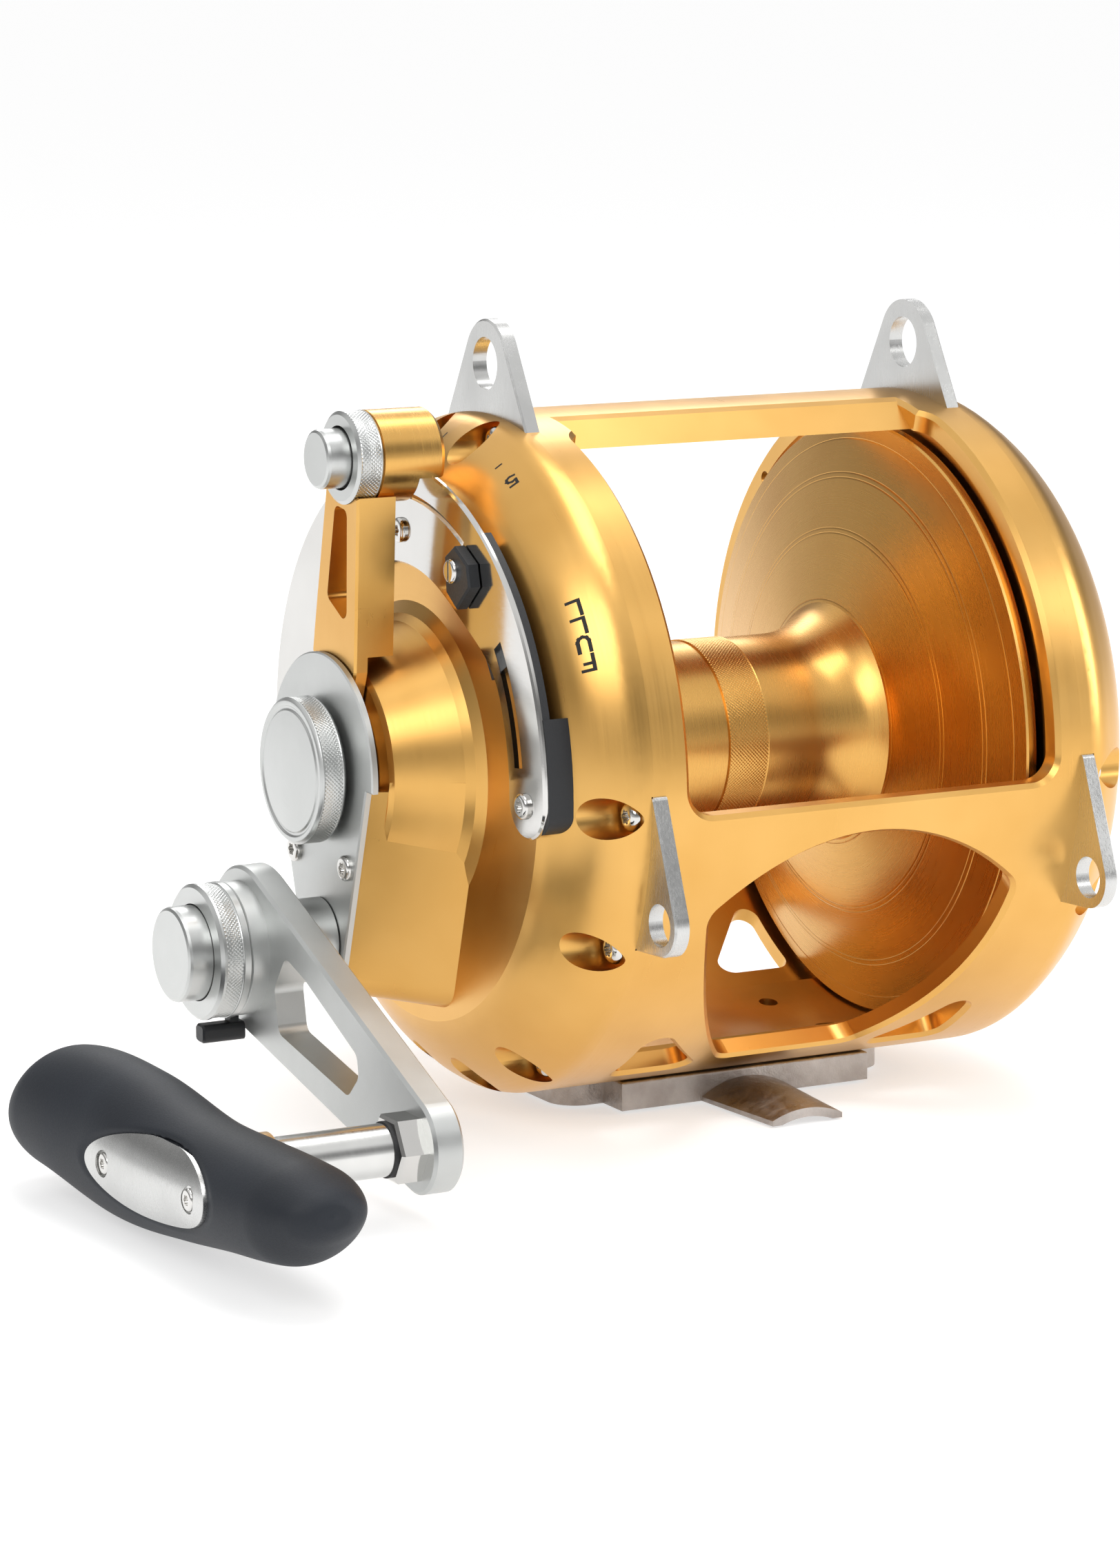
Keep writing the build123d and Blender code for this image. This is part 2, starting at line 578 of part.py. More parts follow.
with BuildPart() as drive_bearings:
    for x in (-84, -63.5):
        revolve(bearing_race(x, 4.3, SLEEVE_R + RUNNING, 13), axis=SPOOL_AXIS)
drive_bearings.part.label = "drive_bearings"
export_step(drive_bearings.part, "parts/drive_bearings.step")

# ---- crank shaft and its gears ----
KEY_HALF = 1.5           # half width of the shift key
KEY_REACH = 9.2


def key_slot(x, length, reach):
    """Upright slot across the crank shaft, cut from the part being made."""
    with BuildSketch(cross_plane(x)) as slot:
        with Locations(CRANK_AT):
            Rectangle(2 * (KEY_HALF + GAP), 2 * reach)
    extrude(slot.sketch, amount=length, mode=Mode.SUBTRACT)


with BuildPart() as crank_shaft:
    extrude(disc(-141.4, CRANK_SHAFT_R, 3.1, at=CRANK_AT), amount=81.9)
    key_slot(-78.4, 11.5, 12)
crank_shaft.part.label = "crank_shaft"
export_step(crank_shaft.part, "parts/crank_shaft.step")

with BuildPart() as high_main_gear:
    extrude(gear_face(HIGH_GEAR_X, HIGH_MAIN, CRANK_SHAFT_R, CRANK_AT, 90), amount=GEAR_WIDTH)
    key_slot(HIGH_GEAR_X, GEAR_WIDTH, KEY_REACH + GAP)
    for angle in range(0, 360, 60):
        y, z = polar(19, angle + 30)
        extrude(disc(HIGH_GEAR_X, 5.5, at=(y, z - CRANK_DROP)), amount=GEAR_WIDTH, mode=Mode.SUBTRACT)
high_main_gear.part.label = "high_main_gear"
export_step(high_main_gear.part, "parts/high_main_gear.step")

# The low gear turns faster than the crank, so it has a round pocket for the key and a hub on the shaft behind it.
with BuildPart() as low_main_gear:
    extrude(gear_face(LOW_GEAR_X, LOW_MAIN, CRANK_SHAFT_R + RUNNING, CRANK_AT, 90), amount=GEAR_WIDTH)
    extrude(disc(LOW_GEAR_X, KEY_REACH + 2 * GAP, at=CRANK_AT), amount=GEAR_WIDTH - 0.2, mode=Mode.SUBTRACT)
    extrude(disc(LOW_GEAR_X + GEAR_WIDTH - 0.2, 12, CRANK_SHAFT_R + RUNNING, at=CRANK_AT), amount=2.8)
low_main_gear.part.label = "low_main_gear"
export_step(low_main_gear.part, "parts/low_main_gear.step")

with BuildPart() as shift_key:
    with BuildSketch(cross_plane(-77.9)):
        with Locations(CRANK_AT):
            Rectangle(2 * KEY_HALF, 2 * KEY_REACH)
    extrude(amount=4)
shift_key.part.label = "shift_key"
export_step(shift_key.part, "parts/shift_key.step")

RATCHET_TEETH = 24
with BuildPart() as ratchet_wheel:
    points = []
    for tooth in range(RATCHET_TEETH):
        start = 2 * pi * tooth / RATCHET_TEETH
        points.append((11 * cos(start), 11 * sin(start) - CRANK_DROP))
        points.append((13 * cos(start + 0.02), 13 * sin(start + 0.02) - CRANK_DROP))
    with BuildSketch(cross_plane(-87.6)):
        with BuildLine():
            Polyline(*points, close=True)
        make_face()
        with Locations(CRANK_AT):
            Circle(CRANK_SHAFT_R, mode=Mode.SUBTRACT)
    extrude(amount=4)
ratchet_wheel.part.label = "ratchet_wheel"
export_step(ratchet_wheel.part, "parts/ratchet_wheel.step")

with BuildPart() as ratchet_pawl:
    with BuildSketch(cross_plane(-86.8)):
        with Locations((9, -27)):
            Circle(3.2)
        with Locations((4.2, -29.9)):
            Circle(1.0)
        make_hull()
        with Locations((9, -27)):
            Circle(1.5 + RUNNING, mode=Mode.SUBTRACT)
    extrude(amount=3)
ratchet_pawl.part.label = "ratchet_pawl"
export_step(ratchet_pawl.part, "parts/ratchet_pawl.step")

with BuildPart() as pawl_pin:
    extrude(disc(-87.2, 1.5, at=(9, -27)), amount=5.2)
    extrude(disc(-83.4, 2.6, at=(9, -27)), amount=1.4)
pawl_pin.part.label = "pawl_pin"
export_step(pawl_pin.part, "parts/pawl_pin.step")

with BuildPart() as crank_bearing_outer:
    revolve(bearing_race(-108.2, 7, CRANK_SHAFT_R + RUNNING, 11, CRANK_SECTION), axis=CRANK_AXIS)
crank_bearing_outer.part.label = "crank_bearing_outer"
export_step(crank_bearing_outer.part, "parts/crank_bearing_outer.step")

with BuildPart() as crank_bearing_inner:
    revolve(bearing_race(-63.5, 4.3, CRANK_SHAFT_R + RUNNING, 11, CRANK_SECTION), axis=CRANK_AXIS)
crank_bearing_inner.part.label = "crank_bearing_inner"
export_step(crank_bearing_inner.part, "parts/crank_bearing_inner.step")

# ---- crank arm and what it carries ----
ARM_FRONT, ARM_BACK = -135.2, -127.2
with BuildPart() as crank_arm:
    with BuildSketch(arm_plane(ARM_BACK)):
        Circle(21)
        with Locations((ARM_LENGTH, 0)):
            Circle(12)
        make_hull()
    extrude(amount=ARM_BACK - ARM_FRONT)
    chamfer(crank_arm.edges().group_by(Axis.X)[0] + crank_arm.edges().group_by(Axis.X)[-1], 0.8)
    with BuildSketch(arm_plane(ARM_BACK + 1)) as arm_window:
        Polygon((24, 9.8), (20.5, -1), (26, -11), (66.5, -6.4), (70.5, 1), (68, 6), (36, 9.8), align=None)
        fillet(arm_window.vertices(), 3.2)
    extrude(amount=12, mode=Mode.SUBTRACT)
    revolve(lathe([(ARM_FRONT - 5, 0), (ARM_FRONT - 5, 16.8), (ARM_FRONT - 4.6, 17.2), (ARM_FRONT, 17.2),
                   (ARM_FRONT, 0)], CRANK_SECTION), axis=CRANK_AXIS)
    revolve(lathe([(-112.9, 0), (-112.9, 10.8), (ARM_BACK, 10.8), (ARM_BACK, 0)], CRANK_SECTION), axis=CRANK_AXIS)
    extrude(disc(-142, CRANK_SHAFT_R, at=CRANK_AT), amount=30, mode=Mode.SUBTRACT)
    extrude(disc(-142, 5, at=STUD_AT), amount=30, mode=Mode.SUBTRACT)
    with BuildSketch(cross_plane(-139.9)):
        with Locations((0, -CRANK_DROP - 16.5)):
            Rectangle(4.0, 8)
    extrude(amount=3.0, mode=Mode.SUBTRACT)
crank_arm.part.label = "crank_arm"
export_step(crank_arm.part, "parts/crank_arm.step")

with BuildPart() as crank_collar:
    revolve(lathe([(-148.6, 12.5), (-148.6, 16.7), (-147.8, 17.5), (-147.1, 17.5), (-147.1, 17.1), (-142.3, 17.1),
                   (-142.3, 17.5), (-140.6, 17.5), (-140.6, 16.6), (-140.2, 16.6), (-140.2, 7), (-141.6, 7),
                   (-141.6, 12.5)], CRANK_SECTION), axis=CRANK_AXIS)
crank_collar.part.label = "crank_collar"
export_step(crank_collar.part, "parts/crank_collar.step")

with BuildPart() as shift_button:
    revolve(lathe([(-155.3, 0), (-155.3, 11.3), (-154.9, 11.95), (-154.2, 12.2), (-148.2, 12.2), (-148.2, 0)],
                  CRANK_SECTION), axis=CRANK_AXIS)
    extrude(disc(-149, 3.0, at=CRANK_AT), amount=71.1)
shift_button.part.label = "shift_button"
export_step(shift_button.part, "parts/shift_button.step")

with BuildPart() as release_tab:
    with BuildSketch(cross_plane(-147.5)):
        with Locations((0, -CRANK_DROP - 21.3)):
            RectangleRounded(5.2, 4.8, 1.4)
    extrude(amount=11.7)
    chamfer(release_tab.faces().sort_by(Axis.X)[0].edges(), 0.5)
    with BuildSketch(cross_plane(-139.6)) as tab_stem:
        with Locations((0, -CRANK_DROP - 18)):
            Rectangle(3.4, 8)
    extrude(amount=2.4)
release_tab.part.label = "release_tab"
export_step(release_tab.part, "parts/release_tab.step")

with BuildPart() as grip_stud:
    extrude(disc(ARM_BACK, 5, at=STUD_AT), amount=-70)
    revolve(lathe([(-143.2, 5), (-143.2, 6.5), (-172.8, 6.5), (-172.8, 5)], STUD_SECTION), axis=STUD_AXIS)
    extrude(disc(-200, 6.4, at=STUD_AT), amount=3.2)
grip_stud.part.label = "grip_stud"
export_step(grip_stud.part, "parts/grip_stud.step")

with BuildPart() as stud_nut:
    with BuildSketch(cross_plane(-142.2)):
        with Locations(STUD_AT):
            RegularPolygon(15.4 / 2, 6, major_radius=False)
            Circle(5, mode=Mode.SUBTRACT)
    extrude(amount=7)
    chamfer(stud_nut.faces().sort_by(Axis.X)[0].outer_wire().edges(), 0.7)
stud_nut.part.label = "stud_nut"
export_step(stud_nut.part, "parts/stud_nut.step")

with BuildPart() as stud_seal:
    extrude(disc(-143.2, 6.9, 5, at=STUD_AT), amount=1)
stud_seal.part.label = "stud_seal"
export_step(stud_seal.part, "parts/stud_seal.step")

# ---- grip: a T-shaped rubber handle that turns on the stud ----
GRIP_FRONT, GRIP_BACK = -205.0, -173.2
GRIP_SLANT = 3.0
GRIP_MID_X = (GRIP_FRONT + GRIP_BACK) / 2


def grip_section(along, width, height, shift, lean):
    """Rounded cross section of the grip, at a distance along it from the stud."""
    slant = radians(GRIP_SLANT)
    origin = (GRIP_MID_X + lean, STUD_Y - along * cos(slant), STUD_Z + along * sin(slant) + shift)
    plane = Plane(origin=origin, x_dir=(1, 0, 0), z_dir=(0, -cos(slant), sin(slant)))
    with BuildSketch(plane) as section:
        Ellipse(width / 2, height / 2)
    return section.sketch


# The rear end is a full bulb that leans outward, and the front end is a slimmer wedge.
GRIP_ROWS = ((-88, 12, 10, 1.5, -3.4), (-84, 25, 20, 2.2, -3.4), (-70, 34, 32, 4.4, -3.0), (-37.5, 32.6, 37.5, 0.9, -0.9),
             (0, 31.8, 30, -1.6, 0), (27.5, 31.8, 26.6, -0.8, 0), (52, 29.6, 24, -0.2, 0), (64, 21, 14, 1.6, 0),
             (68.5, 9, 6, 2, 0))
with BuildPart() as grip_body:
    loft([grip_section(*row) for row in GRIP_ROWS])

BADGE_PLANE = Plane(origin=(GRIP_FRONT + 5, STUD_Y, STUD_Z),
                    x_dir=(0, -cos(radians(GRIP_SLANT)), sin(radians(GRIP_SLANT))), z_dir=(-1, 0, 0))
BADGE_SCREWS = (-24.5, 24.5)
with BuildPart() as grip_badge:
    with BuildSketch(BADGE_PLANE):
        Ellipse(33.5, 9.6)
    extrude(amount=8)
    add(grip_body.part.moved(Location((-0.3, 0, 0))), mode=Mode.INTERSECT)
    add(grip_body.part.moved(Location((1.2, 0, 0))), mode=Mode.SUBTRACT)
    with BuildSketch(BADGE_PLANE.offset(8)):
        with Locations(*[(along, 0) for along in BADGE_SCREWS]):
            Circle(3.3)
    extrude(amount=-3.5, mode=Mode.SUBTRACT)
    with BuildSketch(BADGE_PLANE):
        with Locations(*[(along, 0) for along in BADGE_SCREWS]):
            Circle(1.1)
    extrude(amount=8, mode=Mode.SUBTRACT)
grip_badge.part.label = "grip_badge"
export_step(grip_badge.part, "parts/grip_badge.step")

with BuildPart() as badge_screws:
    for along in BADGE_SCREWS:
        centre = BADGE_PLANE.offset(4.5).location * Location((along, 0, 0))
        add(button_screw(Plane(centre), 2.7, 1.0, 1.0, 0.5))
badge_screws.part.label = "badge_screws"
export_step(badge_screws.part, "parts/badge_screws.step")

with BuildPart() as grip:
    add(grip_body.part)
    add(grip_badge.part, mode=Mode.SUBTRACT)
    with BuildSketch(BADGE_PLANE.offset(3.4)):
        with Locations(*[(along, 0) for along in BADGE_SCREWS]):
            Circle(3.3)
    extrude(amount=5, mode=Mode.SUBTRACT)
    extrude(disc(GRIP_BACK + 2, 8, at=STUD_AT), amount=-29, mode=Mode.SUBTRACT)
grip.part.label = "grip"
export_step(grip.part, "parts/grip.step")

with BuildPart() as grip_bush:
    extrude(disc(-196.4, 8, SHAFT_R + RUNNING, at=STUD_AT), amount=23.2)
grip_bush.part.label = "grip_bush"
export_step(grip_bush.part, "parts/grip_bush.step")

# ---- escutcheon and preset knob ----
with BuildPart() as escutcheon:
    with BuildSketch(cross_plane(-112.6)) as plate:
        Circle(30)
        with Locations((0, -22.2)):
            Rectangle(62, 40, mode=Mode.SUBTRACT)
        Polygon((-26.3, -2.1), (-12.3, -48.4), (12.3, -48.4), (26.3, -2.1), align=None)
        with Locations(CRANK_AT):
            Circle(12.9)
    extrude(amount=1.8)
    chamfer(escutcheon.faces().sort_by(Axis.X)[0].edges(), 0.4)
    extrude(disc(-113, 7.4), amount=4, mode=Mode.SUBTRACT)
    extrude(disc(-113, 8, at=CRANK_AT), amount=4, mode=Mode.SUBTRACT)
    for at in ((-15, -23.5), (15, -23.5)):
        extrude(disc(-113, 1.6, at=at), amount=4, mode=Mode.SUBTRACT)
escutcheon.part.label = "escutcheon"
export_step(escutcheon.part, "parts/escutcheon.step")

with BuildPart() as preset_knob:
    revolve(lathe([(-121.3, 0), (-121.3, 15.8), (-120.9, 16.0), (-120.9, 16.6), (-121.3, 16.8), (-121.3, 18.1),
                   (-120.6, 18.9), (-114.8, 18.9), (-114.0, 18.2), (-114.0, 9), (-112.9, 9), (-112.9, 7),
                   (-104, 7), (-104, 3.0), (-98, 3.0), (-98, 0)]), axis=SPOOL_AXIS)
preset_knob.part.label = "preset_knob"
export_step(preset_knob.part, "parts/preset_knob.step")

# ---- drag lever ----
LEVER_PLANE_X = -110.4


def lever_plane(x):
    """Cross plane leaned with the lever, local y = outward along it."""
    lean = radians(LEVER_REST)
    return Plane(origin=(x, 0, AXIS_Z), x_dir=(0, cos(lean), sin(lean)), z_dir=(1, 0, 0))


BARREL_AT = polar(BARREL_R, LEVER_REST)
BARREL_SECTION = radial_plane(0, BARREL_AT[0], AXIS_Z + BARREL_AT[1])
BARREL_AXIS = Axis((0, BARREL_AT[0], AXIS_Z + BARREL_AT[1]), (1, 0, 0))

with BuildPart() as drag_lever:
    with BuildSketch(lever_plane(LEVER_PLANE_X)):
        Circle(21)
        Polygon((-10, 18), (10, 18), (12.5, 28.5), (11.4, 45), (-11.4, 45), (-12.5, 28.5), align=None)
    extrude(amount=3.6)
    with BuildSketch(lever_plane(LEVER_PLANE_X)) as thick_arm:
        Polygon((-12.3, 32.3), (12.3, 32.3), (9.2, 73), (-9.2, 73), align=None)
    extrude(amount=10.7)
    chamfer(drag_lever.faces().sort_by(Axis.X)[0].edges().filter_by(GeomType.LINE), 0.6)
    with BuildSketch(lever_plane(LEVER_PLANE_X - 1)) as lever_window:
        Polygon((-3.6, 68.6), (3.4, 68.6), (5.4, 44.0), (-6.6, 39.6), align=None)
        fillet(lever_window.vertices(), 2.2)
    extrude(amount=16, mode=Mode.SUBTRACT)
    extrude(disc(-104.3, 11.8, at=BARREL_AT), amount=-8, mode=Mode.SUBTRACT)
    extrude(disc(-105, 11.8, at=BARREL_AT), amount=12, mode=Mode.SUBTRACT)
    extrude(disc(-112, 8.0), amount=12, mode=Mode.SUBTRACT)
drag_lever.part.label = "drag_lever"
export_step(drag_lever.part, "parts/drag_lever.step")

with BuildPart() as lever_barrel:
    revolve(lathe([(-104.3, 3.8), (-104.3, 11.8), (-88.4, 11.8), (-87.2, 10.8), (-87.2, 0), (-92, 0), (-92, 3.8)],
                  BARREL_SECTION), axis=BARREL_AXIS)
    extrude(disc(-94.2, 78.6), amount=10, mode=Mode.SUBTRACT)
lever_barrel.part.label = "lever_barrel"
export_step(lever_barrel.part, "parts/lever_barrel.step")

with BuildPart() as lever_collar:
    revolve(lathe([(-104.3, 3.8), (-104.3, 11.6), (-104.9, 11.8), (-110.9, 11.8), (-111.6, 11.1), (-111.6, 8.2),
                   (-106, 8.2), (-106, 3.8)], BARREL_SECTION), axis=BARREL_AXIS)
lever_collar.part.label = "lever_collar"
export_step(lever_collar.part, "parts/lever_collar.step")

with BuildPart() as lever_button:
    revolve(lathe([(-118.2, 0), (-118.2, 6.7), (-117.8, 7.3), (-117.1, 7.6), (-109.6, 7.6), (-109.6, 3.5),
                   (-96, 3.5), (-96, 0)], BARREL_SECTION), axis=BARREL_AXIS)
lever_button.part.label = "lever_button"
export_step(lever_button.part, "parts/lever_button.step")

with BuildPart() as lever_cam:
    revolve(lathe([(-106.8, 8.0), (-106.8, 18.2), (-98.4, 18.2), (-98.4, 8.0)]), axis=SPOOL_AXIS)
    extrude(arc_band(-98.4, 18.5, 7, 20, 160), amount=-1.2, mode=Mode.SUBTRACT)
    extrude(arc_band(-98.4, 18.5, 7, 200, 340), amount=-1.2, mode=Mode.SUBTRACT)
lever_cam.part.label = "lever_cam"
export_step(lever_cam.part, "parts/lever_cam.step")

# ---- drag quadrant ----
QUAD_FRONT, QUAD_BACK = -89.0, -87.7
QUAD_SCREWS = ((0, 60), (91, 67), (-80, 64))
with BuildPart() as quadrant:
    with BuildSketch(cross_plane(QUAD_FRONT)) as face:
        with BuildLine():
            ThreePointArc(polar(77.5, -88), polar(77.5, 0), polar(77.5, 90))
            ThreePointArc(polar(77.5, 90), (-68.15, -9.35), polar(58.8, 90))
            ThreePointArc(polar(58.8, 90), polar(58.8, 78), polar(58.8, 66))
            Spline(polar(58.8, 66), polar(53.4, 44), polar(51.4, 25),
                   tangents=((cos(radians(66)), sin(radians(66))), (cos(radians(25)), sin(radians(25)))))
            ThreePointArc(polar(51.4, 25), polar(51.4, -30), polar(51.4, -88))
            Line(polar(51.4, -88), polar(77.5, -88))
        make_face()
    extrude(amount=QUAD_BACK - QUAD_FRONT)
    chamfer(quadrant.faces().sort_by(Axis.X)[0].edges(), 0.5)
    extrude(arc_band(QUAD_FRONT, 70.3, 68.8, 3, 30), amount=3, mode=Mode.SUBTRACT)
    extrude(arc_band(QUAD_FRONT, 66.7, 62.6, 55, 83), amount=3, mode=Mode.SUBTRACT)
    for angle, r in QUAD_SCREWS:
        extrude(disc(QUAD_FRONT, 1.6, at=polar(r, angle)), amount=3, mode=Mode.SUBTRACT)
quadrant.part.label = "quadrant"
export_step(quadrant.part, "parts/quadrant.step")

with BuildPart() as trim_screws:
    for x, y, z in ([(QUAD_FRONT, *polar(r, angle)) for angle, r in QUAD_SCREWS]
                    + [(-112.6, -15, -23.5), (-112.6, 15, -23.5)]):
        add(button_screw(outward_plane(x, y, AXIS_Z + z, -1), 3.3, 1.5, 1.45, 3))
trim_screws.part.label = "trim_screws"
export_step(trim_screws.part, "parts/trim_screws.step")

# ---- black backing between the quadrant and the side plate ----
with BuildPart() as quadrant_backing:
    extrude(arc_band(QUAD_BACK, 68, 55, -87, 60), amount=4)
    extrude(arc_band(QUAD_BACK, 77.2, 66, 34, 75), amount=2.2)
    extrude(arc_band(QUAD_BACK, 77.8, 66, 74, 96, 5), amount=7.2)
    revolve(dome(-1), axis=SPOOL_AXIS, mode=Mode.SUBTRACT)
    for angle, r in QUAD_SCREWS:
        extrude(disc(QUAD_BACK, 1.6, at=polar(r, angle)), amount=4, mode=Mode.SUBTRACT)
quadrant_backing.part.label = "quadrant_backing"
export_step(quadrant_backing.part, "parts/quadrant_backing.step")

# ---- strike stop, which slides round the quadrant ----
with BuildPart() as strike_stop:
    with BuildSketch(cross_plane(QUAD_FRONT - GAP)) as stop:
        Polygon(polar(70.2, 31), polar(71, 37.6), polar(67.6, 41.4), polar(58, 40.2), polar(57.6, 33.6),
                polar(65, 28.6), align=None)
    extrude(amount=-3.2)
    chamfer(strike_stop.faces().sort_by(Axis.X)[0].edges(), 0.5)
    y, z = polar(64.6, 33.6)
    extrude(disc(QUAD_FRONT - 3.5, 1.3, at=(y, z)), amount=3.5, mode=Mode.SUBTRACT)
strike_stop.part.label = "strike_stop"
export_step(strike_stop.part, "parts/strike_stop.step")

with BuildPart() as strike_stop_screw:
    stop_plane = outward_plane(QUAD_FRONT - 3.5, y, AXIS_Z + z, -1)
    with BuildSketch(stop_plane):
        Circle(3.1)
    extrude(amount=1.3)
    fillet(strike_stop_screw.edges().group_by(Axis.X)[0], 0.9)
    with BuildSketch(stop_plane.offset(1.3)):
        Rectangle(0.8, 7)
    extrude(amount=-0.7, mode=Mode.SUBTRACT)
    with BuildSketch(stop_plane):
        Circle(1.25)
    extrude(amount=-3.2)
strike_stop_screw.part.label = "strike_stop_screw"
export_step(strike_stop_screw.part, "parts/strike_stop_screw.step")

# ---- clicker on the left side plate ----
CLICK_Z = AXIS_Z - 47.5
with BuildPart() as clicker_button:
    with BuildSketch(cross_plane(FACE_X + 0.4)):
        with Locations((0, CLICK_Z - AXIS_Z)):
            RectangleRounded(13, 20, 4)
    extrude(amount=4)
    fillet(clicker_button.faces().sort_by(Axis.X)[-1].edges(), 1)
    for rise in (-5, -2.5, 0, 2.5, 5):
        with BuildSketch(cross_plane(FACE_X + 4.4)):
            with Locations((0, CLICK_Z - AXIS_Z + rise)):
                Rectangle(9, 0.9)
        extrude(amount=-0.7, mode=Mode.SUBTRACT)
clicker_button.part.label = "clicker_button"
export_step(clicker_button.part, "parts/clicker_button.step")

with BuildPart() as clicker_tongue:
    with BuildSketch(cross_plane(57)):
        with Locations((0, CLICK_Z - AXIS_Z)):
            Rectangle(5.6, 7)
    extrude(amount=FACE_X + 0.4 - 57)
    with BuildSketch(cross_plane(52.4)):
        Polygon((-2, -51), (-2, -27), (-0.6, -22), (0.6, -22), (2, -27), (2, -51), align=None)
    extrude(amount=2.4)
    with BuildSketch(cross_plane(54.8)):
        with Locations((0, CLICK_Z - AXIS_Z)):
            Rectangle(4, 7)
    extrude(amount=2.2)
clicker_tongue.part.label = "clicker_tongue"
export_step(clicker_tongue.part, "parts/clicker_tongue.step")
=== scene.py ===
from math import cos, hypot, pi, radians, sin

import bmesh
import bpy
from mathutils import Matrix, Vector


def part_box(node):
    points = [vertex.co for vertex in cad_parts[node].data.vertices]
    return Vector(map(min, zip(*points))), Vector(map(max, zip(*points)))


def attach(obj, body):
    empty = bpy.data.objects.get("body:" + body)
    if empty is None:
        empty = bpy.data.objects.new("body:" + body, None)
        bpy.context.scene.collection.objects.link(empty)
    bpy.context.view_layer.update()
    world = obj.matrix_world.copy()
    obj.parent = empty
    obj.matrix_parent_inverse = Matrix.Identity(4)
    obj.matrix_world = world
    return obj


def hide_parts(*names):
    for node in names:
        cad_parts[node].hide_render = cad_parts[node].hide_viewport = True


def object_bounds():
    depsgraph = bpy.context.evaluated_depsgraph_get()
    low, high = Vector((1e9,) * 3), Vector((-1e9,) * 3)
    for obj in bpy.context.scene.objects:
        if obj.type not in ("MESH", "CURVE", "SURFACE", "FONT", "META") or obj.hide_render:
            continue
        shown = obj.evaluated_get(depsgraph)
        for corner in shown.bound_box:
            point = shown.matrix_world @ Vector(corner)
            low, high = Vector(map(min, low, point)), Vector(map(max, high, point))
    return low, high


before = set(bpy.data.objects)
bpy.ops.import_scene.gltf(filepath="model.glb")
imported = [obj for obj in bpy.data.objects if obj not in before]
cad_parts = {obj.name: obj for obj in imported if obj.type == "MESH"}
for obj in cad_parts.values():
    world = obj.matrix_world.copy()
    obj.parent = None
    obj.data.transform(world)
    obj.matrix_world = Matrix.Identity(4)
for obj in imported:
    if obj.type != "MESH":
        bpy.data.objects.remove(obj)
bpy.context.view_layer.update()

# Trolling reel, in metres: X along the spool axis with the crank at -X, -Y the line-exit side, +Z up.
MM = 0.001


def middle(node):
    """Centre of a CAD node's box."""
    low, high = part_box(node)
    return Vector([(a + b) / 2 for a, b in zip(low, high)])


SPOOL_Z = middle("spool").z
CRANK_Z = middle("crank_collar").z
STUD = middle("stud_nut")
BARREL = middle("lever_collar")


